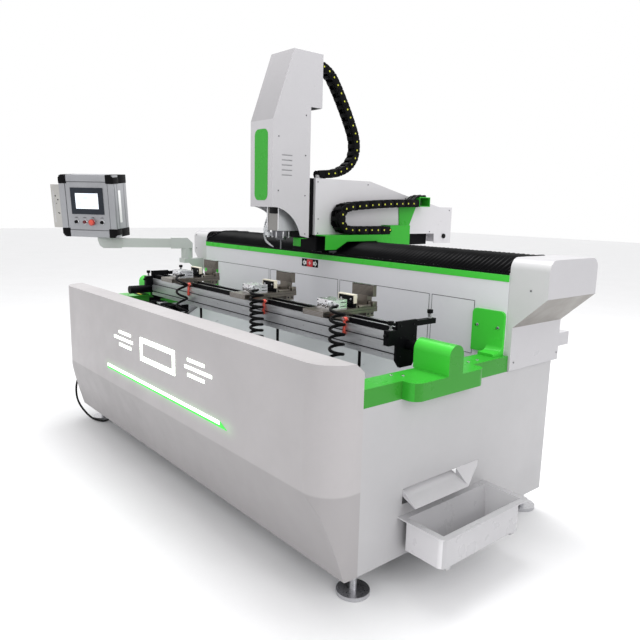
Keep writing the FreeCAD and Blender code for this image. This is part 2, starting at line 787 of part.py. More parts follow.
def light_panel():
    """Lit pieces on the front of the shell: a strip, two groups of bars and a plain ring."""
    depth = ("-shell_reach - light_proud", "-shell_reach")

    def flat(name, points):
        return prism(name, "y", points, *depth)

    low = "strip_height - strip_width / 2"
    high = "strip_height + strip_width / 2"
    strip = box("strip", ("strip_left", "strip_right"), depth, (low, high))
    tip = flat(
        "strip_tip",
        [
            ("strip_right", low),
            ("strip_right + tip_length", low),
            ("strip_right", high),
        ],
    )
    bars = []
    for start in ("bars_left", "bars_right"):
        for row in (-1, 0, 1):
            left = start if row == 0 else f"{start} + {start}_inset"
            length = "bar_short" if row else "bar_long"
            middle = f"bars_height + {row} * bar_pitch"
            bars.append(
                box(
                    "bar",
                    (left, f"{left} + {length}"),
                    depth,
                    (f"{middle} - bar_width / 2", f"{middle} + bar_width / 2"),
                )
            )
    ring = cut(
        "ring",
        box("ring_outside", ("ring_left", "ring_right"), depth, ("ring_low", "ring_high")),
        box(
            "ring_inside",
            ("ring_left + ring_line", "ring_right - ring_line"),
            (f"{depth[0]} - overrun", f"{depth[1]} + overrun"),
            ("ring_low + ring_line", "ring_high - ring_line"),
        ),
    )
    node("light_panel", fuse("long_light", strip, tip), ring, *bars)


CHUTE_OUTLINE = [
    ("chute_front", "chute_low"),
    ("chute_corner", "chute_low"),
    ("chute_rear", "chute_top"),
    ("chute_front", "chute_top"),
]


def side_panels():
    """A sheet at each end. The right one has the opening for the chips."""
    plate = ("0", "base_depth"), ("foot_height", "bed_height")
    left = box("left_sheet", (f"-{PANEL}", f"-{PANEL} + skin"), *plate)
    right = box("right_sheet", (f"{PANEL} - skin", PANEL), *plate)
    opening = prism(
        "chute_opening", "x", CHUTE_OUTLINE, f"{PANEL} - skin - overrun", f"{PANEL} + overrun"
    )
    node("base_panels", left, cut("right_panel", right, opening))
    inside = f"{PANEL} - skin"
    node(
        "base_panels",
        box(
            "rear_sheet",
            (f"-({inside})", inside),
            ("base_depth - skin", "base_depth"),
            ("foot_height", "bed_height"),
        ),
    )
    node(
        "base_panels",
        box(
            "deck_sheet",
            ("-beam_half", "beam_half"),
            ("beam_front + skin + beam_depth", "base_depth"),
            ("bed_height", "bed_height + skin"),
        ),
    )


def chip_chute():
    """A sloping shelf with a straight cheek in front and a slanting one behind."""
    edge = "chute_low + chute_drop"
    rise = "chute_slope * (chute_reach + chute_inside)"
    inner = f"{PANEL} - chute_inside"
    outer = f"{PANEL} + chute_reach"
    shelf_line = [
        (inner, f"{edge} + {rise} - skin"),
        (outer, f"{edge} - skin"),
        (outer, edge),
        (inner, f"{edge} + {rise}"),
    ]
    shelf = prism("shelf", "y", shelf_line, "chute_front + slide_gap", "chute_corner")
    wedge = [
        (PANEL, "chute_corner - skin"),
        (outer, "chute_corner - skin"),
        (outer, "chute_corner"),
        (PANEL, "chute_rear - overrun"),
    ]
    above = prism(
        "cheek_side",
        "y",
        [
            (PANEL, f"{edge} + chute_slope * chute_reach"),
            (outer, edge),
            (PANEL, "chute_top"),
        ],
        "chute_corner - skin",
        "chute_rear",
    )
    cheek = common("cheek", prism("cheek_plan", "z", wedge, edge, "chute_top"), above)
    front = prism(
        "front_cheek",
        "y",
        [
            (PANEL, f"{edge} + chute_slope * chute_reach"),
            (outer, edge),
            (outer, f"{edge} + skin"),
            (PANEL, "chute_top - skin"),
        ],
        "chute_front + slide_gap",
        "chute_front + slide_gap + skin",
    )
    node("chip_chute", fuse("chute", shelf, cheek, front))


def chip_tray():
    """A drawer below the chute, with a turned edge and leaning inner walls."""
    near = f"{PANEL} + slide_gap"
    far = f"{PANEL} + tray_reach"
    front = value("tray_front")
    rear = value("tray_rear")
    reach = value("base_width") / 2 + value("tray_reach")

    def block(name, inset, low, high):
        plan = box(
            name + "_plan",
            (f"{near} + ({inset})", f"{far} - ({inset})"),
            (f"tray_front + ({inset})", f"tray_rear - ({inset})"),
            (low, high),
        )
        return plan

    body = rounded(
        "tray_body",
        block("tray_block", "tray_lip - skin", "tray_floor", "tray_rim - skin"),
        "tray_corner",
        "z",
        x=(reach - value("tray_lip") + value("skin"),),
        y=(
            front + value("tray_lip") - value("skin"),
            rear - value("tray_lip") + value("skin"),
        ),
    )
    rim = rounded(
        "tray_edge",
        block("tray_rim_block", "0", "tray_rim - skin", "tray_rim"),
        "tray_corner",
        "z",
        x=(reach,),
        y=(front, rear),
    )
    top = "tray_rim + overrun"
    floor = "tray_floor + skin"
    across = prism(
        "tray_hollow_across",
        "y",
        [
            (f"{near} + tray_lip + tray_wall_slope", floor),
            (f"{far} - tray_lip - tray_wall_slope", floor),
            (f"{far} - tray_lip", "tray_rim"),
            (f"{far} - tray_lip", top),
            (f"{near} + tray_lip", top),
            (f"{near} + tray_lip", "tray_rim"),
        ],
        "tray_front + tray_lip",
        "tray_rear - tray_lip",
    )
    along = prism(
        "tray_hollow_along",
        "x",
        [
            ("tray_front + tray_lip + tray_wall_slope", floor),
            ("tray_rear - tray_lip - tray_wall_slope", floor),
            ("tray_rear - tray_lip", "tray_rim"),
            ("tray_rear - tray_lip", top),
            ("tray_front + tray_lip", top),
            ("tray_front + tray_lip", "tray_rim"),
        ],
        f"{near} + tray_lip",
        f"{far} - tray_lip",
    )
    hollow = common("tray_hollow", across, along)
    node("chip_tray", cut("tray", fuse("tray_outside", body, rim), hollow))
    runners = [
        box(
            f"runner_{name}",
            (PANEL, f"{far} - tray_lip"),
            (middle, f"{middle} + runner_width"),
            ("tray_floor - slide_gap - runner_height", "tray_floor - slide_gap"),
        )
        for name, middle in (
            ("front", "tray_front + runner_inset"),
            ("rear", "tray_rear - runner_inset - runner_width"),
        )
    ]
    node("base_panels", *runners)


def chip_pan():
    """A folded sheet below the table, with an outlet at its right end."""
    line = [
        ("0", "pan_front"),
        ("pan_low_front", "pan_low"),
        ("pan_low_rear", "pan_low"),
        ("beam_front", "pan_rear"),
    ]
    lower = [(y, f"{z} - skin") for y, z in reversed(line)]
    sheet_body = prism("pan_sheet", "x", line + lower, "-pan_width / 2", "pan_width / 2")
    middle = "(pan_low_front + pan_low_rear) / 2"
    outlet = box(
        "pan_outlet",
        ("pan_width / 2 - outlet_length", "pan_width / 2 - skin"),
        (f"{middle} - outlet_depth / 2", f"{middle} + outlet_depth / 2"),
        ("pan_low - skin - overrun", "pan_low + overrun"),
    )
    node("chip_pan", cut("pan", sheet_body, outlet))


def end_beams():
    """Green beams on the side panels, each with a bump and the trunnion's bearing cover."""
    inner = f"{PANEL} - end_beam_width"
    top = "bed_height + end_beam_height"
    tube = square_tube(
        "end_tube",
        "y",
        (inner, PANEL),
        ("0", "beam_front"),
        ("bed_height", top),
        "skin",
    )
    bump_box = box(
        "bump_box",
        (PANEL, f"{PANEL} + bump_reach"),
        ("bump_front", "bump_rear"),
        ("bed_height", top),
    )
    reach = value("base_width") / 2 + value("bump_reach")
    bump = rounded(
        "bump",
        bump_box,
        "bump_corner",
        "z",
        x=(reach,),
        y=(value("bump_front"), value("bump_rear")),
    )
    bump_hollow = box(
        "bump_hollow",
        (PANEL, f"{PANEL} + bump_reach - skin - bump_corner / 2"),
        ("bump_front + bump_corner", "bump_rear - bump_corner"),
        ("bed_height + skin", f"{top} - skin"),
    )
    beam = fuse("end_beam", tube, cut("hollow_bump", bump, bump_hollow))

    half = "arch_width / 2"
    cover_side = (f"{inner} - arch_inner", f"{PANEL} + bump_reach")
    block = box(
        "arch_block",
        cover_side,
        (f"axis_depth - {half}", f"axis_depth + {half}"),
        (top, "axis_height"),
    )
    dome = cylinder("arch_dome", "x", half, *cover_side, ("axis_depth", "axis_height"))
    axis = ("axis_depth", "axis_height")
    bore = cylinder(
        "arch_bore",
        "x",
        "trunnion_radius + fit_gap",
        f"{cover_side[0]} - overrun",
        f"{cover_side[0]} + trunnion_inside + slide_gap",
        axis,
    )
    end = cut("end_beam_whole", fuse("end_beam_blank", beam, block, dome), bore)
    node("end_beams", end, mirrored("end_beam_left", end))


def corner_brackets():
    """Bent plates that tie the end beams to the gantry beam."""
    top = "bed_height + end_beam_height"
    side = (f"{PANEL} - end_beam_width - bracket_inner", f"{PANEL} - bracket_outer")
    upright = rounded(
        "bracket_upright",
        box(
            "bracket_plate_box",
            side,
            ("beam_front - bracket_plate", "beam_front"),
            (top, "bracket_top"),
        ),
        "bracket_corner",
        "y",
        x=(
            value("base_width") / 2 - value("end_beam_width") - value("bracket_inner"),
            value("base_width") / 2 - value("bracket_outer"),
        ),
        z=(value("bracket_top"),),
    )
    foot = prism(
        "bracket_foot_plate",
        "x",
        [
            ("beam_front - bracket_plate - bracket_foot", top),
            ("beam_front - bracket_plate", top),
            ("beam_front - bracket_plate", f"{top} + 3 * bracket_plate"),
            ("beam_front - 2 * bracket_plate", f"{top} + 1.6 * bracket_plate"),
            ("beam_front - 3.5 * bracket_plate", f"{top} + bracket_plate"),
            ("beam_front - bracket_plate - bracket_foot", f"{top} + bracket_plate"),
        ],
        f"{PANEL} - end_beam_width",
        side[1],
    )
    holes = [
        cylinder(
            "bracket_hole_bar",
            "y",
            "bracket_hole",
            "beam_front - bracket_plate - overrun",
            "beam_front + overrun",
            (middle, "bracket_top - bracket_hole_drop"),
        )
        for middle in (
            f"{side[0]} + 0.1 * (end_beam_width + bracket_inner)",
            f"{side[1]} - 0.2 * (end_beam_width + bracket_inner)",
        )
    ]
    bracket = cut("corner_bracket", fuse("bracket_blank", upright, foot), *holes)
    node("corner_brackets", bracket, mirrored("corner_bracket_left", bracket))


def gantry_beam():
    """A welded box beam on two columns, closed by an end plate at each end."""
    depth = ("beam_front + skin", "beam_front + skin + beam_depth")
    beam = square_tube(
        "beam", "x", ("-beam_half", "beam_half"), depth, ("beam_low", "beam_high"), "beam_wall"
    )
    column = square_tube(
        "column",
        "z",
        ("beam_half - column_width", "beam_half"),
        (f"{depth[0]} + beam_wall", f"{depth[1]} - skin"),
        ("bed_height", "beam_low"),
        "beam_wall",
    )
    plate = box(
        "end_plate_right",
        ("beam_half", "beam_half + beam_end_plate"),
        ("end_front + skin", "end_rear - skin"),
        ("bed_height", "end_plate_high"),
    )
    node(
        "gantry_beam",
        beam,
        column,
        mirrored("column_left", column),
        plate,
        mirrored("end_plate_left", plate),
    )
    rails = [
        box(
            "long_rail",
            ("-beam_half", "beam_half"),
            (f"{middle} - rail_width / 2", f"{middle} + rail_width / 2"),
            ("beam_high", "beam_high + rail_height"),
        )
        for middle in ("rail_front", "rail_rear")
    ]
    node("long_rails", *rails)


def beam_covers():
    side = ("-beam_half", "beam_half")
    front = ("beam_front", "beam_front + skin")
    node("beam_covers", box("front_sheet", side, front, ("cover_low", "cover_high")))
    back = "beam_front + skin + beam_depth"
    node(
        "beam_covers",
        box(
            "rear_cover_sheet",
            side,
            (back, f"{back} + skin"),
            ("bed_height + skin", "cover_high"),
        ),
    )
    node(
        "beam_stripe",
        box("stripe", side, ("beam_front - skin", "beam_front"), ("stripe_low", "stripe_high")),
    )
    doors = []
    left = "door_right"
    for length in ("door_short", "door_long", "door_long", "door_left"):
        right = left
        left = f"{right} - {length}"
        doors.append(
            box(
                "door",
                (left, right),
                ("beam_front - door_proud", "beam_front"),
                ("door_low", "door_top"),
            )
        )
        left = f"{left} - door_gap"
    node("beam_covers", *doors)
    plate = f"{PANEL} - plate_right"
    node(
        "beam_covers",
        box(
            "axis_plate_sheet",
            (f"{plate} - plate_length", plate),
            ("beam_front - door_proud", "beam_front"),
            ("plate_low", "plate_low + plate_height"),
        ),
    )


def end_covers():
    """Rounded sheet covers over the ends of the gantry beam."""

    def body(name, inset, inner):
        section = prism(
            name + "_section",
            "y",
            [
                (inner, f"skirt_low - ({inset}) * 2"),
                (f"beam_half + skirt_reach - ({inset})", f"skirt_low - ({inset}) * 2"),
                (f"beam_half + skirt_reach - ({inset})", f"end_waist + ({inset})"),
                (f"beam_half + end_reach - ({inset})", f"end_overhang + ({inset})"),
                (f"beam_half + end_reach - ({inset})", f"end_top - ({inset})"),
                (inner, f"end_top - ({inset})"),
            ],
            f"end_front + ({inset})",
            f"end_rear - ({inset})",
        )
        thickness = value("skin") if inset == "skin" else 0
        return rounded(
            name,
            section,
            "end_corner",
            "x",
            y=(value("end_front") + thickness, value("end_rear") - thickness),
            z=(value("end_top") - thickness,),
        )

    outside = body("end_outside", "0", "beam_half")
    inside = body("end_inside", "skin", "beam_half - overrun")
    cover = cut("end_cover", outside, inside)
    node("end_covers", cover, mirrored("end_cover_left", cover))
    node(
        "end_covers",
        box(
            "junction",
            (f"{PANEL} - junction_width", PANEL),
            ("end_rear", "end_rear + junction_depth"),
            ("junction_low", "junction_low + junction_height"),
        ),
    )


def roof_points(grow):
    """The bellows' outline as numbers, grown outwards by a length."""
    front = value("roof_front")
    crest = front + value("roof_slope")
    flat = crest + value("roof_flat")
    tail = flat + value("roof_tail")
    low = value("cover_high")
    return [
        (front - grow, low),
        (crest - grow / 2, low + value("roof_rise") + grow),
        (flat + grow / 2, low + value("roof_rise") + grow),
        (tail + grow, low + value("roof_tail_rise") + grow / 2),
        (tail + grow, low),
    ]


def roof_band(start, length, outer, inner):
    """A roof shaped band along the beam, between two offsets of the outline."""
    ring = [Vector(start, y, z) for y, z in roof_points(outer)]
    ring += [Vector(start, y, z) for y, z in reversed(roof_points(inner))]
    face = Part.Face(Part.makePolygon(ring + ring[:1]))
    return face.extrude(Vector(length, 0, 0))


def bellows():
    """Folded covers over the rails, from the saddle to each end cover."""
    middle = value("head_middle")
    board = value("end_board")
    half = value("beam_half")
    for name, start, stop in (
        ("left", -half + board, middle - value("saddle_half") - value("slide_gap")),
        ("right", middle + value("saddle_half") + value("slide_gap"), half - board),
    ):
        skin = roof_band(start, stop - start, 0, -value("roof_skin"))
        folds = int((stop - start - value("fold_width")) / value("fold_pitch"))
        gap = (stop - start - value("fold_width")) / folds
        parts = [solid(f"{name}_bellows_sheet", skin)]
        for number in range(folds + 1):
            crest = roof_band(start + number * gap, value("fold_width"), value("fold_height"), 0)
            parts.append(solid(f"{name}_fold", crest))
        node("bellows", *parts)
    boards = []
    for start in (-half, half - board):
        grow = value("fold_height") + value("skin")
        inner = -value("roof_skin")
        boards.append(solid("bellows_board", roof_band(start, board, grow, inner)))
    node("bellows", *boards)


def runner_block(name, axis, middle, spread_at, rail, top, drop, length):
    """A block that wraps the top of a rail. rail is its half width and its top height."""
    half, rail_top, sign = rail
    across = f"{half} + carriage_side"
    outer = (f"{spread_at} - ({across})", f"{spread_at} + ({across})")
    along = (f"{middle} - {length} / 2", f"{middle} + {length} / 2")
    groove = (f"{spread_at} - ({half}) - slide_gap", f"{spread_at} + ({half}) + slide_gap")
    run = (f"{along[0]} - overrun", f"{along[1]} + overrun")
    if sign > 0:
        height = (f"{rail_top} - ({drop})", top)
        slot = (f"{rail_top} - ({drop}) - overrun", f"{rail_top} + slide_gap")
    else:
        height = (top, f"{rail_top} + ({drop})")
        slot = (f"{rail_top} - slide_gap", f"{rail_top} + ({drop}) + overrun")
    if axis == "x":
        block = box(name + "_block", along, outer, height)
        return cut(name, block, box(name + "_slot", run, groove, slot))
    block = box(name + "_block", outer, along, height)
    return cut(name, block, box(name + "_slot", groove, run, slot))


def saddle():
    """The block that runs along the beam, with the green bracket of the cross chain."""
    side = ("head_middle - saddle_half", "head_middle + saddle_half")
    block = box("saddle_block", side, ("saddle_front", "saddle_rear"), ("saddle_low", "saddle_high"))
    hollow = box(
        "saddle_hollow",
        (f"{side[0]} + saddle_wall", f"{side[1]} - saddle_wall"),
        ("saddle_front + saddle_wall", "saddle_rear - saddle_wall"),
        ("saddle_low + saddle_wall", "saddle_high - saddle_wall"),
    )
    node("saddle", cut("saddle_body", block, hollow))
    blocks = []
    for rail in ("rail_front", "rail_rear"):
        for sign in ("-", "+"):
            blocks.append(
                runner_block(
                    "saddle_runner",
                    "x",
                    f"head_middle {sign} carriage_spread",
                    rail,
                    ("rail_width / 2", "beam_high + rail_height", 1),
                    "saddle_low",
                    "carriage_drop",
                    "carriage_length",
                )
            )
    node("saddle_runners", *blocks)
    guides = []
    for sign in ("-", "+"):
        for middle in ("saddle_front + carriage_length", "saddle_rear - carriage_length"):
            guides.append(
                runner_block(
                    "ram_runner",
                    "y",
                    middle,
                    f"head_middle {sign} ram_rail_spread",
                    ("ram_rail_width / 2", "ram_beam_low - ram_rail_height", -1),
                    "saddle_high",
                    "ram_rail_height * 0.7",
                    "carriage_length",
                )
            )
    node("saddle_runners", *guides)

    outline = [
        ("saddle_front", "trough_low"),
        ("trough_foot", "trough_low"),
        ("arch_front", "arch_top"),
        ("arch_rear", "arch_top"),
        ("arch_end", "trough_low + skin"),
        ("tab_rear", "trough_low"),
        ("tab_rear", "tab_top"),
        ("saddle_rear", "tab_top"),
        ("saddle_rear", "trough_top"),
        ("saddle_front", "trough_top"),
    ]
    inner = side[1]
    outer = "head_middle + bracket_reach"
    blank = prism("trough_blank", "x", outline, inner, outer)
    front_space = box(
        "trough_space",
        (f"{inner} - overrun", f"{outer} - trough_sheet"),
        ("saddle_front - overrun", "saddle_rear"),
        ("trough_low - overrun", "trough_top - trough_sheet"),
    )
    tab_space = box(
        "tab_space",
        (f"{inner} + trough_sheet", f"{outer} - trough_sheet"),
        ("saddle_rear + trough_sheet", "tab_rear - trough_sheet"),
        ("trough_low - overrun", "tab_top - trough_sheet"),
    )
    clear = box(
        "tab_relief",
        (f"{inner} - overrun", "head_middle + chain_inner"),
        ("saddle_rear - overrun", "tab_rear + overrun"),
        ("trough_top", "tab_top + overrun"),
    )
    node("chain_bracket", cut("trough", blank, front_space, tab_space, clear))


def link_plates(stations, height, start, width, gap):
    """One block for each step along a chain's middle line, seen from its side."""
    links = []
    for (first, turn), (second, next_turn) in zip(stations, stations[1:]):
        along = (second - first).normalize() * (gap / 2)
        corners = [
            first + turn * (height / 2) + along,
            second + next_turn * (height / 2) - along,
            second - next_turn * (height / 2) - along,
            first - turn * (height / 2) + along,
        ]
        ring = [Vector(start, corner.y, corner.z) for corner in corners]
        face = Part.Face(Part.makePolygon(ring + ring[:1]))
        links.append(face.extrude(Vector(width, 0, 0)))
    return links


def cross_chain_line():
    """Middle line of the cross chain: rear end of the lower run, bend, upper run."""
    bend = value("chain_bend")
    low = value("chain_low")
    turn = value("bend_middle")
    lower_rear = Vector(0, value("chain_low_end"), low)
    lower_front = Vector(0, turn, low)
    middle = Vector(0, turn - bend, low + bend)
    upper_front = Vector(0, turn, low + 2 * bend)
    rear = value("chain_high_end")
    upper_middle = Vector(0, (turn + rear) / 2, low + 2 * bend + value("chain_half_rise"))
    upper_rear = Vector(0, rear, low + 2 * bend + value("chain_rise"))
    return Part.Wire(
        [
            Part.LineSegment(lower_rear, lower_front).toShape(),
            Part.Arc(lower_front, middle, upper_front).toShape(),
            Part.Arc(upper_front, upper_middle, upper_rear).toShape(),
        ]
    )


TALL_CHAIN_SHARES = [
    (0.0, 0.967),
    (0.1, 0.962),
    (0.238, 0.897),
    (0.413, 0.752),
    (0.569, 0.601),
    (0.706, 0.448),
    (0.795, 0.282),
    (0.69, 0.124),
    (0.445, 0.034),
    (0.3, 0.011),
    (0.15, 0.002),
    (0.03, 0.001),
]


def tall_chain_line():
    """Middle line of the tall chain, from the head's back to the top of the ram."""
    back = value("head_back_top")
    deep = value("ram_slope_front") - back
    base = value("ram_top") + value("slide_gap") + value("tall_chain_height") / 2
    rise = value("head_top") - value("tall_chain_height") - base
    points = [
        Vector(0, back + value("slide_gap") + deep * across * 0.9, base + rise * up)
        for across, up in TALL_CHAIN_SHARES
    ]
    curve = Part.BSplineCurve()
    curve.interpolate(points)
    return Part.Wire([curve.toShape()])


def stations_along(wire, count):
    """Evenly spaced points on a line in the upright plane, each with its normal.

    The line's ends are level."""
    points = wire.discretize(Number=count + 1)
    found = []
    for number, point in enumerate(points):
        before = points[max(number - 1, 0)]
        after = points[min(number + 1, count)]
        along = (after - before).normalize()
        if number in (0, count):
            along = Vector(0, math.copysign(1, along.y), 0)
        found.append((point, Vector(0, -along.z, along.y)))
    return found


def chains():
    line = cross_chain_line()
    count = round(line.Length / value("chain_pitch"))
    middle = value("head_middle")
    start = middle + value("chain_inner") + value("link_gap")
    width = value("bracket_reach") - value("chain_inner") - value("link_gap")
    links = link_plates(
        stations_along(line, count), value("chain_height"), start, width, value("link_gap")
    )
    node("cross_chain", *[solid("cross_link", link) for link in links])
    line = tall_chain_line()
    links = link_plates(
        stations_along(line, int(value("tall_chain_links"))),
        value("tall_chain_height"),
        middle + value("tall_chain_inner"),
        value("tall_chain_width"),
        value("link_gap"),
    )
    node("tall_chain", *[solid("tall_link", link) for link in links])


def ram():
    """The arm that slides over the saddle: inner beam, rails, cover, motor and chain arm."""
    half = "ram_beam_half"
    side = (f"head_middle - {half}", f"head_middle + {half}")
    beam = square_tube(
        "ram_tube",
        "y",
        side,
        ("ram_front", "ram_beam_rear"),
        ("ram_beam_low", "ram_beam_high"),
        "ram_beam_wall",
    )
    face = box(
        "ram_face",
        ("head_middle - face_half", "head_middle + face_half"),
        ("ram_front - face_plate", "ram_front"),
        ("ram_low", "ram_top"),
    )
    flange = box(
        "motor_flange",
        side,
        ("ram_beam_rear", "motor_front"),
        ("motor_low", "ram_beam_high"),
    )
    node("ram_beam", beam, face, flange)
    rails = [
        box(
            "ram_rail",
            (
                f"head_middle {sign} ram_rail_spread - ram_rail_width / 2",
                f"head_middle {sign} ram_rail_spread + ram_rail_width / 2",
            ),
            ("ram_front", "ram_beam_rear"),
            ("ram_beam_low - ram_rail_height", "ram_beam_low"),
        )
        for sign in ("-", "+")
    ]
    node("ram_guides", *rails)

    outline = [
        ("ram_front", "ram_low"),
        ("ram_front", "ram_top"),
        ("ram_slope_front", "ram_top"),
        ("ram_knee", "ram_knee_height"),
        ("ram_slope_rear", "ram_tail_height"),
        ("ram_rear", "ram_tail_height"),
        ("ram_rear", "ram_tail_low"),
        ("notch_rear", "ram_tail_low"),
        ("notch_rear - skin", "ram_low"),
    ]
    outside = prism(
        "ram_cover_outside", "x", outline, "head_middle - ram_half", "head_middle + ram_half"
    )
    hollow = [
        ("ram_front + skin", "ram_tail_low - overrun"),
        ("ram_front + skin", "ram_top - skin"),
        ("ram_slope_front - skin", "ram_top - skin"),
        ("ram_knee - skin", "ram_knee_height - skin"),
        ("ram_slope_rear - skin", "ram_tail_height - skin"),
        ("ram_rear - skin", "ram_tail_height - skin"),
        ("ram_rear - skin", "ram_tail_low - overrun"),
    ]
    inside = prism(
        "ram_cover_inside",
        "x",
        hollow,
        "head_middle - ram_half + skin",
        "head_middle + ram_half - skin",
    )
    window = box(
        "ram_window",
        (f"{side[0]} - slide_gap", f"{side[1]} + slide_gap"),
        ("ram_front - overrun", "ram_front + skin + overrun"),
        ("ram_low - overrun", "ram_beam_high + slide_gap"),
    )
    node("ram_cover", cut("ram_cover_sheet", outside, inside, window))
    node(
        "cross_motor",
        box(
            "cross_motor_case",
            ("head_middle - motor_half", "head_middle + motor_half"),
            ("motor_front", "motor_rear"),
            ("motor_low", "motor_high"),
        ),
    )
    node(
        "ram_cover",
        cylinder(
            "plug",
            "x",
            "plug_radius",
            "head_middle + ram_half",
            "head_middle + ram_half + plug_proud",
            ("plug_depth", "plug_height"),
        ),
    )
    plate = prism(
        "gusset",
        "x",
        [
            ("gusset_low_front", "gusset_low"),
            ("gusset_low_rear", "gusset_low"),
            ("gusset_rear", "arm_low"),
            ("arm_rear", "arm_low"),
            ("arm_rear", "arm_high"),
            ("arm_front", "arm_high"),
            ("arm_front", "arm_low"),
            ("gusset_front", "arm_low"),
        ],
        "head_middle + ram_half",
        "head_middle + ram_half + gusset_sheet",
    )
    arm = square_tube(
        "arm_tube",
        "x",
        ("head_middle + ram_half + gusset_sheet", "head_middle + bracket_reach"),
        ("arm_front", "arm_rear"),
        ("arm_low", "arm_high"),
        "arm_wall",
    )
    node("chain_arm", fuse("arm", plate, arm))
    blocks = []
    for sign in ("-", "+"):
        for middle in ("ram_low + carriage_length", "ram_top - carriage_length"):
            spread = f"head_middle {sign} head_rail_spread"
            outer = (
                f"{spread} - head_rail_width / 2 - carriage_side",
                f"{spread} + head_rail_width / 2 + carriage_side",
            )
            groove = (
                f"{spread} - head_rail_width / 2 - slide_gap",
                f"{spread} + head_rail_width / 2 + slide_gap",
            )
            tall = (f"{middle} - carriage_length / 2", f"{middle} + carriage_length / 2")
            near = "head_back + slide_gap"
            back = "ram_front - face_plate"
            slot_back = "head_back + slide_gap + head_rail_height"
            blocks.append(
                cut(
                    "lift_runner",
                    box("lift_block", outer, (near, back), tall),
                    box(
                        "lift_slot",
                        groove,
                        (f"{near} - overrun", slot_back),
                        (f"{tall[0]} - overrun", f"{tall[1]} + overrun"),
                    ),
                )
            )
    node("ram_guides", *blocks)


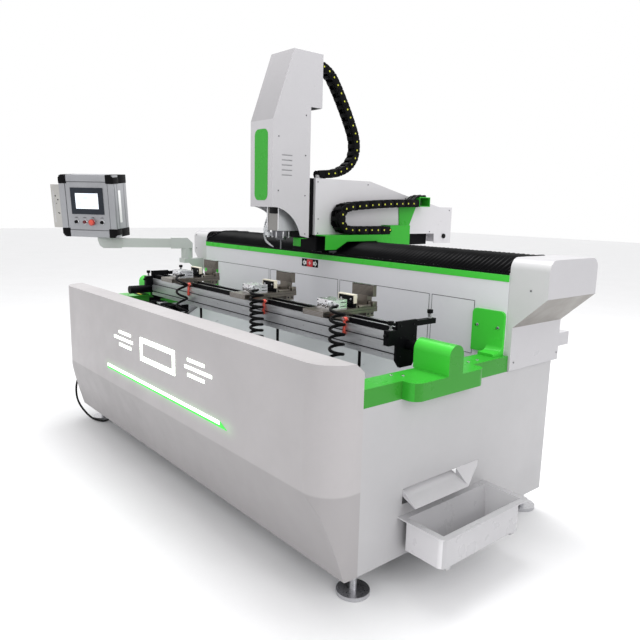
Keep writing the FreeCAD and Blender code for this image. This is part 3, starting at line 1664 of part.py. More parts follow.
def head():
    """The tall spindle head, a hollow cover over the slide plate, motor and spindle."""
    names = (
        ("head_front", "head_low"),
        ("head_front", "head_knee"),
        ("head_brow", "head_top"),
        ("head_back_top", "head_top"),
        ("head_back_top", "head_step"),
        ("head_back", "head_step"),
        ("head_back", "head_heel"),
        ("head_toe", "head_toe_height"),
        ("head_arc_front", "head_low"),
    )
    half = value("ram_half")
    middle = value("head_middle")

    def slab(spots, width, arc):
        points = [Vector(middle - width, value(y) + a, value(z) + b) for y, z, a, b in spots]
        edges = [
            Part.LineSegment(first, second).toShape()
            for first, second in zip(points, points[1:])
        ]
        if arc:
            through = Vector(
                middle - width, value("head_arc_middle"), value("head_arc_height")
            )
            toe, start = points[-2], points[-1]
            edges[-1] = Part.Arc(toe, through, start).toShape()
        edges.append(Part.LineSegment(points[-1], points[0]).toShape())
        return Part.Face(Part.Wire(edges)).extrude(Vector(2 * width, 0, 0))

    skin = value("skin")
    down = value("overrun")
    outer = slab([(y, z, 0, 0) for y, z in names], half, True)
    inset = [
        ("head_front", "head_low", skin, -down - value("head_low") + value("nose_low")),
        ("head_front", "head_knee", skin, 0),
        ("head_brow", "head_top", skin, -skin),
        ("head_back_top", "head_top", -skin, -skin),
        ("head_back_top", "head_step", -skin, skin),
        ("head_back", "head_step", down, skin),
        ("head_back", "nose_low", down, -down),
    ]
    inner = slab(inset, half - skin, False)
    vents = []
    pitch = (value("vent_high") - value("vent_low")) / 4
    for number in range(5):
        low = value("vent_low") + number * pitch
        vents.append(
            Part.makeBox(
                half * 2 + 2 * down,
                value("vent_rear") - value("vent_front"),
                value("vent_width"),
                Vector(middle - half - down, value("vent_front"), low - value("vent_width") / 2),
            )
        )
    cover = outer.cut(inner)
    for vent in vents:
        cover = cover.cut(vent)
    node("head_cover", solid("head_sheet", cover))
    inlay_half = value("inlay_half")
    inlay = rounded(
        "inlay",
        box(
            "inlay_sheet",
            ("head_middle - inlay_half", "head_middle + inlay_half"),
            ("head_front - inlay_proud", "head_front"),
            ("inlay_low", "inlay_high"),
        ),
        "inlay_corner",
        "y",
        x=(middle - inlay_half, middle + inlay_half),
        z=(value("inlay_low"), value("inlay_high")),
    )
    node("head_inlay", inlay)
    plate = box(
        "slide_plate",
        ("head_middle - back_plate_half", "head_middle + back_plate_half"),
        ("head_back - back_plate", "head_back"),
        ("head_heel", "back_plate_high"),
    )
    node("lift_slide", plate)
    rails = [
        box(
            "lift_rail",
            (
                f"head_middle {sign} head_rail_spread - head_rail_width / 2",
                f"head_middle {sign} head_rail_spread + head_rail_width / 2",
            ),
            ("head_back", "head_back + head_rail_height"),
            ("head_heel", "back_plate_high"),
        )
        for sign in ("-", "+")
    ]
    node("lift_slide", *rails)
    node(
        "lift_slide",
        box(
            "lift_motor_case",
            ("head_middle - lift_motor_side / 2", "head_middle + lift_motor_side / 2"),
            ("head_back_top - skin - lift_motor_side", "head_back_top - skin"),
            ("lift_motor_low", "lift_motor_low + lift_motor_height"),
        ),
    )
    axis = ("head_middle", "spindle_depth")
    case = box(
        "spindle_block",
        ("head_middle - spindle_half", "head_middle + spindle_half"),
        ("spindle_depth - spindle_half", "head_back - back_plate"),
        ("spindle_low", "spindle_high"),
    )
    bore = cylinder(
        "spindle_bore",
        "z",
        "nose_radius + fit_gap",
        "spindle_low - overrun",
        "spindle_low + shaft_inside + slide_gap",
        axis,
    )
    node("spindle_housing", cut("spindle_case", case, bore))
    flange_low = "spindle_low - flange_height"
    flange = cut(
        "flange",
        cylinder("flange_disc", "z", "flange_radius", flange_low, "spindle_low", axis),
        cylinder(
            "flange_bore",
            "z",
            "nose_radius + fit_gap",
            f"{flange_low} - overrun",
            "spindle_low + overrun",
            axis,
        ),
    )
    node("spindle_housing", flange)
    shaft = cylinder("shaft", "z", "nose_radius", "nose_low", "spindle_low + shaft_inside", axis)
    collet = cylinder(
        "collet", "z", "collet_radius", "nose_low", f"{flange_low} - slide_gap", axis
    )
    cutter = cylinder("cutter", "z", "tool_radius", "tool_low", "nose_low", axis)
    node("spindle_nose", fuse("nose", shaft, collet, cutter))
    angle_side = ("head_middle + stop_side", "head_middle + stop_side + stop_block_width")
    angle = cut(
        "green_angle",
        box(
            "green_block",
            angle_side,
            ("head_back - stop_block_depth", "head_back"),
            ("head_heel - stop_block_height", "head_heel"),
        ),
        box(
            "angle_space",
            (f"{angle_side[0]} - overrun", f"{angle_side[1]} + overrun"),
            ("head_back - stop_block_depth + stop_sheet", "head_back + overrun"),
            ("head_heel - stop_block_height - overrun", "head_heel - stop_sheet"),
        ),
    )
    node("stop_block", angle)


COOLANT_ROUTE_SHARES = [
    (-1.0, -0.2, 2.6),
    (-1.4, -0.2, 2.6),
    (-1.72, -0.48, 2.3),
    (-1.8, -0.75, 1.7),
    (-1.6, -0.8, 1.1),
    (-1.25, -0.7, 0.55),
    (-0.85, -0.45, 0.1),
]


def arc_tube(name, points, radius):
    """A tube of straight runs joined by arcs as large as the runs allow."""
    arcs = []
    for before, corner, after in zip(points, points[1:], points[2:]):
        into = (corner - before).normalize()
        out = (after - corner).normalize()
        turn = into.getAngle(out)
        reach = 0.45 * min(before.distanceToPoint(corner), corner.distanceToPoint(after))
        start = corner - into * reach
        end = corner + out * reach
        bend = reach / math.tan(turn / 2)
        inward = (out - into).normalize()
        centre = corner + inward * (bend / math.cos(turn / 2))
        middle = centre - inward * bend
        arcs.append((start, middle, end, bend))
    edges = []
    last = points[0]
    for start, middle, end, _ in arcs:
        edges.append(Part.LineSegment(last, start).toShape())
        edges.append(Part.Arc(start, middle, end).toShape())
        last = end
    edges.append(Part.LineSegment(last, points[-1]).toShape())
    path = Part.Wire(edges)
    along = (points[1] - points[0]).normalize()
    ring = Part.Wire([Part.makeCircle(radius, points[0], along)])
    tube = path.makePipeShell([ring], True, False)
    section = math.pi * radius**2
    print(
        name,
        "length",
        round(path.Length, 1),
        "radii",
        [round(bend, 1) for *_, bend in arcs],
        "volume share",
        round(tube.Volume / (section * path.Length), 4),
    )
    return tube


def coolant_hose():
    half = value("spindle_half")
    low = value("nose_low")
    points = [
        Vector(
            value("head_middle") + half * side,
            value("spindle_depth") + half * depth,
            low + half * height,
        )
        for side, depth, height in COOLANT_ROUTE_SHARES
    ]
    node(
        "coolant_hose",
        solid("coolant_tube", arc_tube("coolant hose", points, value("coolant_radius"))),
    )


def table():
    """The tilting table: a grooved beam with rails, end plates, shafts and end stops."""
    side = ("-table_half", "table_half")
    rear = "table_front + table_depth"
    beam = square_tube(
        "table_tube", "x", side, ("table_front", rear), ("table_low", "table_high"), "table_wall"
    )
    grooves = []
    for middle in ("groove_low", "groove_high"):
        for low, high in (
            ("table_front - overrun", "table_front + groove_depth"),
            (f"{rear} - groove_depth", f"{rear} + overrun"),
        ):
            grooves.append(
                box(
                    "groove",
                    ("-table_half - overrun", "table_half + overrun"),
                    (low, high),
                    (f"{middle} - groove_width / 2", f"{middle} + groove_width / 2"),
                )
            )
    node("table_beam", cut("table_section", beam, *grooves))
    rails = [
        box(
            "table_rail",
            side,
            (f"{middle} - table_rail_width / 2", f"{middle} + table_rail_width / 2"),
            ("table_high", "table_high + table_rail_height"),
        )
        for middle in ("table_front + table_rail_inset", f"{rear} - table_rail_inset")
    ]
    node("table_rails", *rails)
    plate = prism(
        "table_end_plate",
        "x",
        [
            ("table_front + end_plate_taper", "end_plate_low"),
            (f"{rear} - end_plate_taper", "end_plate_low"),
            (rear, "table_low"),
            (rear, "end_plate_top"),
            ("table_front", "end_plate_top"),
            ("table_front", "table_low"),
        ],
        "table_half",
        "table_half + end_plate",
    )
    shaft = cylinder(
        "trunnion",
        "x",
        "trunnion_radius",
        "table_half + end_plate",
        f"{PANEL} - end_beam_width - arch_inner + trunnion_inside",
        ("axis_depth", "axis_height"),
    )
    end = fuse("table_end", plate, shaft)
    node("table_ends", end, mirrored("table_end_left", end))
    stop_side = ("table_half + end_plate - stop_width", "table_half + end_plate")
    front = box(
        "front_stop",
        stop_side,
        ("table_front - stop_reach", "table_front"),
        ("stop_low", "stop_high"),
    )
    arm = box(
        "rear_stop",
        stop_side,
        (rear, f"{rear} + stop_arm_reach"),
        ("stop_arm_low", "stop_arm_high"),
    )
    parts = [front, arm]
    for name, depth, top in (
        ("front", "table_front - stop_reach / 2", "stop_high"),
        ("rear", f"{rear} + stop_arm_reach - stop_reach / 2", "stop_arm_high"),
    ):
        spot = ("table_half + end_plate - stop_width / 2", depth)
        knob_low = f"{top} + stop_screw_length / 3"
        knob_high = f"{knob_low} + stop_knob_height"
        screw = cylinder(f"{name}_stop_screw", "z", "stop_screw_radius", top, knob_low, spot)
        knob = cylinder(f"{name}_stop_knob", "z", "stop_knob_radius", knob_low, knob_high, spot)
        parts.append(fuse(f"{name}_screw", screw, knob))
    stops = parts + [mirrored(part.Name + "_left", part) for part in parts]
    node("profile_stops", *stops)


def tilt_drive():
    """Gearbox round the left trunnion, with its motor in front."""
    inner = f"{PANEL} - end_beam_width - arch_inner"
    half = "gearbox_side / 2"
    case = box(
        "gear_block",
        (f"-({inner})", f"-({inner}) + gearbox_width"),
        (f"axis_depth - {half}", f"axis_depth + {half}"),
        (f"axis_height - {half}", f"axis_height + {half}"),
    )
    bore = cylinder(
        "gear_bore",
        "x",
        "trunnion_radius + fit_gap",
        f"-({inner}) - overrun",
        f"-({inner}) + gearbox_width + overrun",
        ("axis_depth", "axis_height"),
    )
    node("tilt_gearmotor", cut("gear_case", case, bore))
    node(
        "tilt_gearmotor",
        cylinder(
            "tilt_motor_case",
            "y",
            "tilt_motor_radius",
            f"axis_depth - {half} - tilt_motor_length",
            f"axis_depth - {half}",
            (f"-({inner}) + gearbox_width / 2", "axis_height - tilt_motor_radius"),
        ),
    )


def biarc(first, along, second, then):
    """Two arcs that join two points and leave and meet them in given directions."""
    across = second - first
    both = along + then
    dot = across.dot(both)
    same = 2 * (1 - along.dot(then))
    reach = (-dot + math.sqrt(dot * dot + same * across.dot(across))) / same
    joint = (first + along * reach + second - then * reach) * 0.5

    return [
        Part.Arc(first, arc_middle(first, along, joint), joint).toShape(),
        Part.Arc(joint, arc_middle(second, then * -1, joint), second).toShape(),
    ]


def arc_middle(start, heading, end):
    """Middle of the arc that leaves its start in a given direction."""
    chord = end - start
    towards = Vector(chord).normalize()
    half = heading.getAngle(towards)
    way = (heading + towards).normalize()
    return start + way * (chord.Length / (2 * math.cos(half / 2)))


HOSE_TURNS = {"clamp_one": 3.5, "clamp_two": 9.5, "clamp_three": 6.5}


def air_hose(clamp):
    """A coiled hose from the cylinder's right side down to a fitting under the table."""
    turns = HOSE_TURNS[clamp]
    side = value(clamp) + value("coil_side")
    radius = value("hose_radius")
    coil = value("coil_radius")
    depth = value("table_front") - value("coil_clearance") - coil - radius
    plate_top = plate_height() + value("clamp_plate")
    top = plate_top + value("cylinder_height") / 2
    low = value("coil_low")
    steps = int(turns * 4)
    places = []
    for step in range(steps + 1):
        angle = math.pi + step * math.pi / 2
        drop = (top - low) * step / steps
        spot = Vector(side + coil * math.cos(angle), depth + coil * math.sin(angle), top - drop)
        heading = Vector(
            -math.sin(angle) * coil, math.cos(angle) * coil, -(top - low) / (turns * math.tau)
        )
        places.append((spot, heading.normalize()))
    outwards = Vector(1, 0, 0)
    places[0] = (places[0][0], Vector(0, -1, 0))
    places[-1] = (places[-1][0], Vector(0, 1, 0))
    start = Vector(
        value(clamp) + value("cylinder_half"), value("cylinder_front") + value("hose_inset"), top
    )
    edges = biarc(start, outwards, *places[0])
    for (first, along), (second, then) in zip(places, places[1:]):
        edges += biarc(first, along, second, then)
    end = places[-1][0]
    bend = value("hose_bend")
    seat = value("table_front") + value("table_depth") / 2
    corner = Vector(end.x, seat - bend, end.z)
    up = Vector(end.x, seat, end.z + bend)
    slant = bend * math.sqrt(0.5)
    through = Vector(end.x, seat - bend + slant, end.z + bend - slant)
    stop = Vector(end.x, seat, value("table_low") - value("fitting_length"))
    edges.append(Part.LineSegment(end, corner).toShape())
    if stop.z - up.z > value("slide_gap"):
        edges.append(Part.Arc(corner, through, up).toShape())
        edges.append(Part.LineSegment(up, stop).toShape())
    path = Part.Wire(edges)
    ring = Part.Wire([Part.makeCircle(radius, start, outwards)])
    tube = path.makePipeShell([ring], True, False)
    samples = path.discretize(Distance=radius)
    nearest = min(
        a.distanceToPoint(b)
        for number, a in enumerate(samples)
        for b in samples[number + 8 :]
    )
    share = tube.Volume / (math.pi * radius**2 * path.Length)
    print(
        "air hose",
        clamp,
        "length",
        round(path.Length, 1),
        "least gap",
        round(nearest - 2 * radius, 2),
        "volume share",
        round(share, 4),
    )
    return tube


def plate_height():
    """Underside of a clamp's base plate."""
    return value("table_high") + value("table_rail_height") + value("slide_gap")


def clamp(name, number):
    """One pneumatic clamp: base, cylinder, moving jaw, fixed jaw, lever and hose."""
    rail_top = "table_high + table_rail_height"
    low = f"{rail_top} + slide_gap"
    top = f"{low} + clamp_plate"
    plate = box(
        "clamp_plate_box",
        (f"{name} - clamp_half", f"{name} + clamp_half"),
        ("clamp_front", "clamp_rear"),
        (low, top),
    )
    shoes = []
    for middle in (
        "table_front + table_rail_inset",
        "table_front + table_depth - table_rail_inset",
    ):
        outer = "table_rail_width / 2 + shoe_side"
        shoe = box(
            "shoe",
            (f"{name} - clamp_half", f"{name} + clamp_half"),
            (f"{middle} - ({outer})", f"{middle} + ({outer})"),
            (f"{rail_top} - shoe_drop", low),
        )
        slot = box(
            "shoe_slot",
            (f"{name} - clamp_half - overrun", f"{name} + clamp_half + overrun"),
            (
                f"{middle} - table_rail_width / 2 - slide_gap",
                f"{middle} + table_rail_width / 2 + slide_gap",
            ),
            (f"{rail_top} - shoe_drop - overrun", low),
        )
        shoes.append(cut("shoe_cut", shoe, slot))
    front_shoe = "table_front + table_rail_inset - table_rail_width / 2"
    lock = box(
        "lock_block",
        (f"{name} + clamp_half - overrun", f"{name} + clamp_half + lock_reach"),
        (f"{front_shoe} - shoe_side", f"{front_shoe} - slide_gap"),
        (f"{rail_top} - shoe_drop", low),
    )
    counter = box(
        "counter_block",
        (f"{name} - counter_half", f"{name} + counter_half"),
        ("clamp_rear - counter_half", "clamp_rear"),
        (f"{low} - counter_drop", low),
    )
    jaw_low = f"{top} + cap_lift"
    post = box(
        "jaw_post",
        (f"{name} - post_half", f"{name} + post_half"),
        ("fixed_jaw_front", "clamp_rear"),
        (top, "fixed_jaw_low"),
    )
    jaw = box(
        "fixed_jaw_plate",
        (f"{name} - clamp_half", f"{name} + clamp_half"),
        ("fixed_jaw_front", "fixed_jaw_front + fixed_jaw_depth"),
        ("fixed_jaw_low", "fixed_jaw_high"),
    )
    node(f"clamp_base_{number}", fuse("clamp_base", plate, lock, counter, *shoes, post, jaw))
    block = box(
        "cylinder_block",
        (f"{name} - cylinder_half", f"{name} + cylinder_half"),
        ("cylinder_front", "cylinder_rear"),
        (top, f"{top} + cylinder_height"),
    )
    rod_height = f"{top} + cylinder_height / 2"
    bores = []
    rods = []
    for sign in ("-", "+"):
        spot = (f"{name} {sign} rod_spread", rod_height)
        bores.append(
            cylinder(
                "rod_bore",
                "y",
                "rod_radius + fit_gap",
                "jaw_back - rod_length - slide_gap",
                "cylinder_rear + overrun",
                spot,
            )
        )
        rods.append(cylinder("rod", "y", "rod_radius", "jaw_back - rod_length", "jaw_back", spot))
    node(f"clamp_base_{number}", cut("cylinder_case", block, *bores))
    core = box(
        "jaw_core",
        (f"{name} - jaw_half + cap_wall", f"{name} + jaw_half - cap_wall"),
        ("jaw_back", "jaw_back + jaw_depth"),
        (f"{top} + slide_gap", "jaw_high - cap_wall"),
    )
    node(f"clamp_jaw_{number}", fuse("jaw_carrier", core, *rods))
    cap = cut(
        "jaw_cap",
        box(
            "cap_block",
            (f"{name} - jaw_half", f"{name} + jaw_half"),
            ("jaw_back", "jaw_back + jaw_depth"),
            (jaw_low, "jaw_high"),
        ),
        box(
            "cap_space",
            (f"{name} - jaw_half + cap_wall", f"{name} + jaw_half - cap_wall"),
            ("jaw_back - overrun", "jaw_back + jaw_depth + overrun"),
            (f"{jaw_low} - overrun", "jaw_high - cap_wall"),
        ),
    )
    node(f"clamp_jaw_{number}", cap)
    lever_middle = f"{rail_top} - shoe_drop / 2"
    lever_back = f"{front_shoe} - shoe_side - slide_gap"
    lever_front = f"{lever_back} - hub_length"
    hub_spot = (f"{name} + lever_offset", lever_middle)
    hub = cylinder("hub", "y", "hub_radius", lever_front, lever_back, hub_spot)
    handle = box(
        "handle",
        (
            f"{name} + lever_offset - lever_width / 2",
            f"{name} + lever_offset + lever_width / 2",
        ),
        (lever_front, f"{lever_front} + lever_thickness"),
        (f"{lever_middle} - lever_length", lever_middle),
    )
    node(f"clamp_lever_{number}", fuse("lever", hub, handle))
    node(f"air_hose_{number}", solid("hose", air_hose(name)))


def hose_fittings():
    """Fittings under the table, one for each hose."""
    parts = []
    for name in HOSE_TURNS:
        parts.append(
            cylinder(
                "fitting",
                "z",
                "fitting_radius",
                "table_low - fitting_length",
                "table_low",
                (f"{name} + coil_side + coil_radius", "table_front + table_depth / 2"),
            )
        )
    node("table_beam", *parts)


def pendant_post():
    """Bracket on the left end cover that carries the pendant's arm."""
    side = ("elbow_side - collar_radius", "elbow_side + collar_radius")
    plate = box(
        "post_plate",
        side,
        ("elbow_depth - collar_radius", "end_front"),
        ("post_plate_low", "post_plate_high"),
    )
    gusset = prism(
        "post_gusset",
        "x",
        [
            ("elbow_depth", "post_plate_low"),
            ("end_front", "post_low + collar_radius"),
            ("end_front", "post_plate_low"),
        ],
        "elbow_side + collar_radius - skin * 4",
        "elbow_side + collar_radius",
    )
    node("pendant_post", fuse("post", plate, gusset))


def pendant_arm():
    """A collar on the post, an elbow, a square tube and the swivel under the box."""
    elbow = ("elbow_side", "elbow_depth")
    collar = cylinder(
        "collar", "z", "collar_radius", "post_plate_high + slide_gap", "collar_high", elbow
    )
    run = value("elbow_side") - value("arm_end_side")
    reach = value("elbow_depth") - value("arm_end_depth")
    length = "sqrt((elbow_side - arm_end_side)^2 + (elbow_depth - arm_end_depth)^2)"
    half = "arm_width / 2"
    low = f"arm_axis_height - {half}"
    high = f"arm_axis_height + {half}"
    tube = box("arm_box", ("0", length), (f"-{half}", half), (low, high))
    elbow_box = prism(
        "elbow_housing",
        "y",
        [
            ("-collar_radius", "collar_high"),
            ("collar_radius", "collar_high"),
            ("collar_radius + housing_over", f"{low} - housing_over"),
            ("housing_length", f"{low} - housing_over"),
            ("housing_length", f"{high} + housing_over"),
            ("-collar_radius + housing_bevel", f"{high} + housing_over"),
            ("-collar_radius", f"{high} + housing_over - housing_bevel"),
        ],
        f"-{half} - housing_over",
        f"{half} + housing_over",
    )
    swivel_box = prism(
        "swivel_housing",
        "y",
        [
            (f"{length} - housing_length", f"{low} - housing_over"),
            (f"{length} + swivel_radius - housing_bevel", f"{low} - housing_over"),
            (f"{length} + swivel_radius - housing_bevel / 3", f"{low} + housing_bevel / 3"),
            (f"{length} + swivel_radius", f"{high} - housing_bevel / 3"),
            (f"{length} + swivel_radius", "swivel_high"),
            (f"{length} - housing_length", "swivel_high"),
        ],
        f"-{half} - housing_over",
        f"{half} + housing_over",
    )
    doc.recompute()
    angle = 180 + math.degrees(math.atan2(reach, run))
    turned = doc.addObject("Part::Compound", "arm_turned")
    turned.Links = [fuse("arm_straight", tube, elbow_box, swivel_box)]
    turned.Placement = FreeCAD.Placement(Vector(), FreeCAD.Rotation(Vector(0, 0, 1), angle))
    place(turned, "elbow_side", "elbow_depth", "0")
    node("pendant_arm", fuse("pendant_tube", collar, turned))


def turned_box(name, parts):
    """Pieces laid out on the pendant's own face, turned and leaned into place."""
    thing = doc.addObject("Part::Compound", name)
    thing.Links = parts
    turn = FreeCAD.Rotation(Vector(0, 0, 1), value("box_turn_degrees"))
    lean = FreeCAD.Rotation(Vector(1, 0, 0), value("box_lean_degrees"))
    thing.Placement = FreeCAD.Placement(Vector(), turn.multiply(lean))
    return place(thing, "box_side_middle", "box_depth_middle", "box_height_middle")


BUTTONS = ("button_one", "button_two", "button_three", "button_four")
BUTTON_NODES = ("start_button", "pause_button", "emergency_stop", "reset_button")


def pendant_box():
    """The control box, laid out with its front face at zero depth."""
    width = "box_width / 2"
    height = "box_height / 2"
    case = box("case_block", (f"-{width}", width), ("0", "box_depth"), (f"-{height}", height))
    inside = box(
        "case_space",
        (f"-{width} + box_wall", f"{width} - box_wall"),
        ("box_wall + button_proud", "box_depth - box_wall"),
        (f"-{height} + box_wall", f"{height} - box_wall"),
    )
    holes = [
        cylinder(
            "button_hole",
            "y",
            "button_radius + slide_gap",
            "-overrun",
            "box_wall + button_proud + overrun",
            (spot, "button_row"),
        )
        for spot in BUTTONS
    ]
    wing = box(
        "wing",
        (f"-{width} - wing_reach", f"-{width}"),
        ("0", "box_wall"),
        ("wing_low", "wing_high"),
    )
    hollow = cut("case", fuse("case_outside", case, wing), inside, *holes)
    neck = cylinder(
        "neck",
        "z",
        "neck_radius",
        "swivel_high + slide_gap",
        "box_height_middle - box_height / 2 + box_wall",
        ("arm_end_side", "arm_end_depth"),
    )
    node("pendant_case", fuse("pendant_case_body", turned_box("case_turned", [hollow]), neck))
    caps = []
    for across in ("-", ""):
        for up in ("-", ""):
            side = [f"{across}({width} + cap_proud)", f"{across}({width} - corner_cap)"]
            tall = [f"{up}({height} + cap_proud)", f"{up}({height} - corner_cap)"]
            if across == "":
                side.reverse()
            if up == "":
                tall.reverse()
            cap = box("cap_cube", side, ("-cap_proud", "box_depth + cap_proud"), tall)
            space = box(
                "cap_inside",
                (f"-{width}", width),
                ("0", "box_depth"),
                (f"-{height}", height),
            )
            clear = box(
                "cap_mouth",
                (f"-{width} + corner_cap / 2", f"{width} - corner_cap / 2"),
                ("-cap_proud - overrun", "box_depth + cap_proud + overrun"),
                (f"-{height} + corner_cap / 2", f"{height} - corner_cap / 2"),
            )
            caps.append(cut("corner", cap, space, clear))
    node("pendant_trim", turned_box("corners_turned", caps))
    frame = box(
        "bezel_block",
        ("-bezel_width / 2", "bezel_width / 2"),
        ("-bezel_proud", "0"),
        ("bezel_middle - bezel_height / 2", "bezel_middle + bezel_height / 2"),
    )
    glass_spot = (
        ("-glass_width / 2", "glass_width / 2"),
        ("bezel_middle - glass_height / 2", "bezel_middle + glass_height / 2"),
    )
    recess = box(
        "glass_recess",
        glass_spot[0],
        ("-bezel_proud - overrun", "-bezel_proud / 2"),
        glass_spot[1],
    )
    glass = box(
        "glass_sheet",
        glass_spot[0],
        ("-bezel_proud", "-bezel_proud / 2"),
        glass_spot[1],
    )
    node("pendant_screen", turned_box("screen_turned", [cut("bezel", frame, recess), glass]))
    rings = []
    for spot in BUTTONS:
        outer = cylinder("ring_outer", "y", "button_ring", "-ring_proud", "0", (spot, "button_row"))
        inner = cylinder(
            "ring_inner",
            "y",
            "button_radius + slide_gap",
            "-ring_proud - overrun",
            "overrun",
            (spot, "button_row"),
        )
        rings.append(cut("button_ring_cut", outer, inner))
    node("pendant_trim", turned_box("rings_turned", rings))
    for spot, label in zip(BUTTONS, BUTTON_NODES):
        button = cylinder(
            label + "_cap",
            "y",
            "button_radius",
            "-button_proud",
            "box_wall",
            (spot, "button_row"),
        )
        parts = [button]
        if label == "emergency_stop":
            low = "-button_proud - stop_head"
            head_disc = cylinder(
                "mushroom", "y", "stop_radius", low, "-button_proud", (spot, "button_row")
            )
            parts = [fuse("stop_button", button, head_disc)]
        node(label, turned_box(label + "_turned", parts))


# The supply cable leaves a block on the left panel, sags to the floor and turns back up
# through a ring under the front tie.
CABLE_ROUTE = [
    (-1222, 60, 330),
    (-1222, 10, 330),
    (-1226, -34, 308),
    (-1231, -68, 272),
    (-1234, -88, 225),
    (-1233, -94, 172),
    (-1229, -90, 120),
    (-1217, -74, 72),
    (-1189, -52, 32),
    (-1143, -36, 10),
    (-1092, -20, 7),
    (-1046, 10, 7),
    (-1020, 31, 27),
    (-1004, 43, 62),
    (-1004, 43, 100),
]


def supply_cable():
    """The cable, the block that it leaves and the ring that it goes back up through."""
    points = [Vector(*spot) for spot in CABLE_ROUTE]
    tube = arc_tube("supply cable", points, value("cable_radius"))
    node("supply_cable", solid("cable_tube", tube))
    outlet = box(
        "cable_outlet",
        (f"-{PANEL} - lead_block_reach", f"-{PANEL}"),
        ("lead_block_front", "lead_block_front + lead_block_depth"),
        ("lead_block_low", "lead_block_low + lead_block_height"),
    )
    node("base_panels", outlet)
    middle = ("inlet_side", "skin + tube_side / 2")
    low = "foot_height - inlet_length"
    ring = cut(
        "cable_inlet",
        cylinder("inlet_outside", "z", "inlet_radius", low, "foot_height", middle),
        cylinder(
            "inlet_hole",
            "z",
            "cable_radius + slide_gap",
            f"{low} - overrun",
            "foot_height + overrun",
            middle,
        ),
    )
    node("base_frame", ring)


def build():
    fill_sheet()
    base_frame()
    levelling_feet()
    front_shell()
    light_panel()
    side_panels()
    chip_chute()
    chip_tray()
    chip_pan()
    end_beams()
    corner_brackets()
    gantry_beam()
    beam_covers()
    end_covers()
    bellows()
    saddle()
    chains()
    ram()
    head()
    coolant_hose()
    table()
    tilt_drive()
    for name, number in (("clamp_one", 1), ("clamp_two", 2), ("clamp_three", 3)):
        clamp(name, number)
    hose_fittings()
    pendant_post()
    pendant_arm()
    pendant_box()
    supply_cable()


def check_and_write():
    """Stops on any failed object, then writes one file for each sub-part."""
    written = subparts()
    doc.recompute()
    for thing in doc.Objects:
        bad = {"Invalid", "Error"} & set(thing.State)
        if bad:
            raise RuntimeError(f"{thing.Name} is {thing.State}")
    extent = FreeCAD.BoundBox()
    for thing in written:
        shape = thing.Shape
        if shape.isNull() or not shape.isValid():
            raise RuntimeError(f"{thing.Label} has no valid shape")
        if not shape.Solids:
            raise RuntimeError(f"{thing.Label} has no solid")
        extent.add(shape.BoundBox)
        shape.exportStep(f"parts/{thing.Label}.step")
    print("nodes", len(written), "extent", extent, "middle", extent.Center)


os.makedirs("parts", exist_ok=True)
build()
check_and_write()
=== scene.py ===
import math

import bmesh
import bpy
from mathutils import Matrix, Vector, noise


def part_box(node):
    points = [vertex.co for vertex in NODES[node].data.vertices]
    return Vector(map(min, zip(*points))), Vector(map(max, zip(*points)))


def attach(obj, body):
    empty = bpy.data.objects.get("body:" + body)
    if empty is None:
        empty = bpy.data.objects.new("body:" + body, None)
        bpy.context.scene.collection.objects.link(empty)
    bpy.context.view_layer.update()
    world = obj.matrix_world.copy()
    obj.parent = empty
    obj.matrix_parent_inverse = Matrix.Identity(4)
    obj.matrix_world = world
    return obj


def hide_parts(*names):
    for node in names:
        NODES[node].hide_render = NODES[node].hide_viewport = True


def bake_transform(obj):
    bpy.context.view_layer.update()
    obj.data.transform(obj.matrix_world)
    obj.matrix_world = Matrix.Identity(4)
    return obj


# A machining centre for aluminium bars: finishes, soft pieces and small parts on its frame.
# Pieces are laid out in millimetres: X along the beam from the base's middle, Y backwards
# from the front edge of the side panels, Z above the floor.

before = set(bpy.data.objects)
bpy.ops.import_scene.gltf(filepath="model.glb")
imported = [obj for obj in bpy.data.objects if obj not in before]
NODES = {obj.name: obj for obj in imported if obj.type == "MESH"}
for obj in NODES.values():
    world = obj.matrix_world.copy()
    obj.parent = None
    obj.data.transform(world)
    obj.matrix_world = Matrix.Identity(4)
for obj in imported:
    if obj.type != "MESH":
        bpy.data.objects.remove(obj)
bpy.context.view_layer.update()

MM = 0.001
LAYOUT_SIDE = -182.68
LAYOUT_BACK = 805.75
LAYOUT = Matrix.Scale(MM, 4) @ Matrix.Translation((-LAYOUT_SIDE, -LAYOUT_BACK, 0))
UNLAID = LAYOUT.inverted()


def spot(x, y, z):
    """A laid out place in the frame's metres."""
    return LAYOUT @ Vector((x, y, z))


def limits(node):
    """Lowest and highest corner of a node, laid out."""
    low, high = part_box(node)
    return UNLAID @ low, UNLAID @ high


# Materials

WHITE = (0.42, 0.402, 0.408)
GREEN = (0.036, 0.37, 0.030)


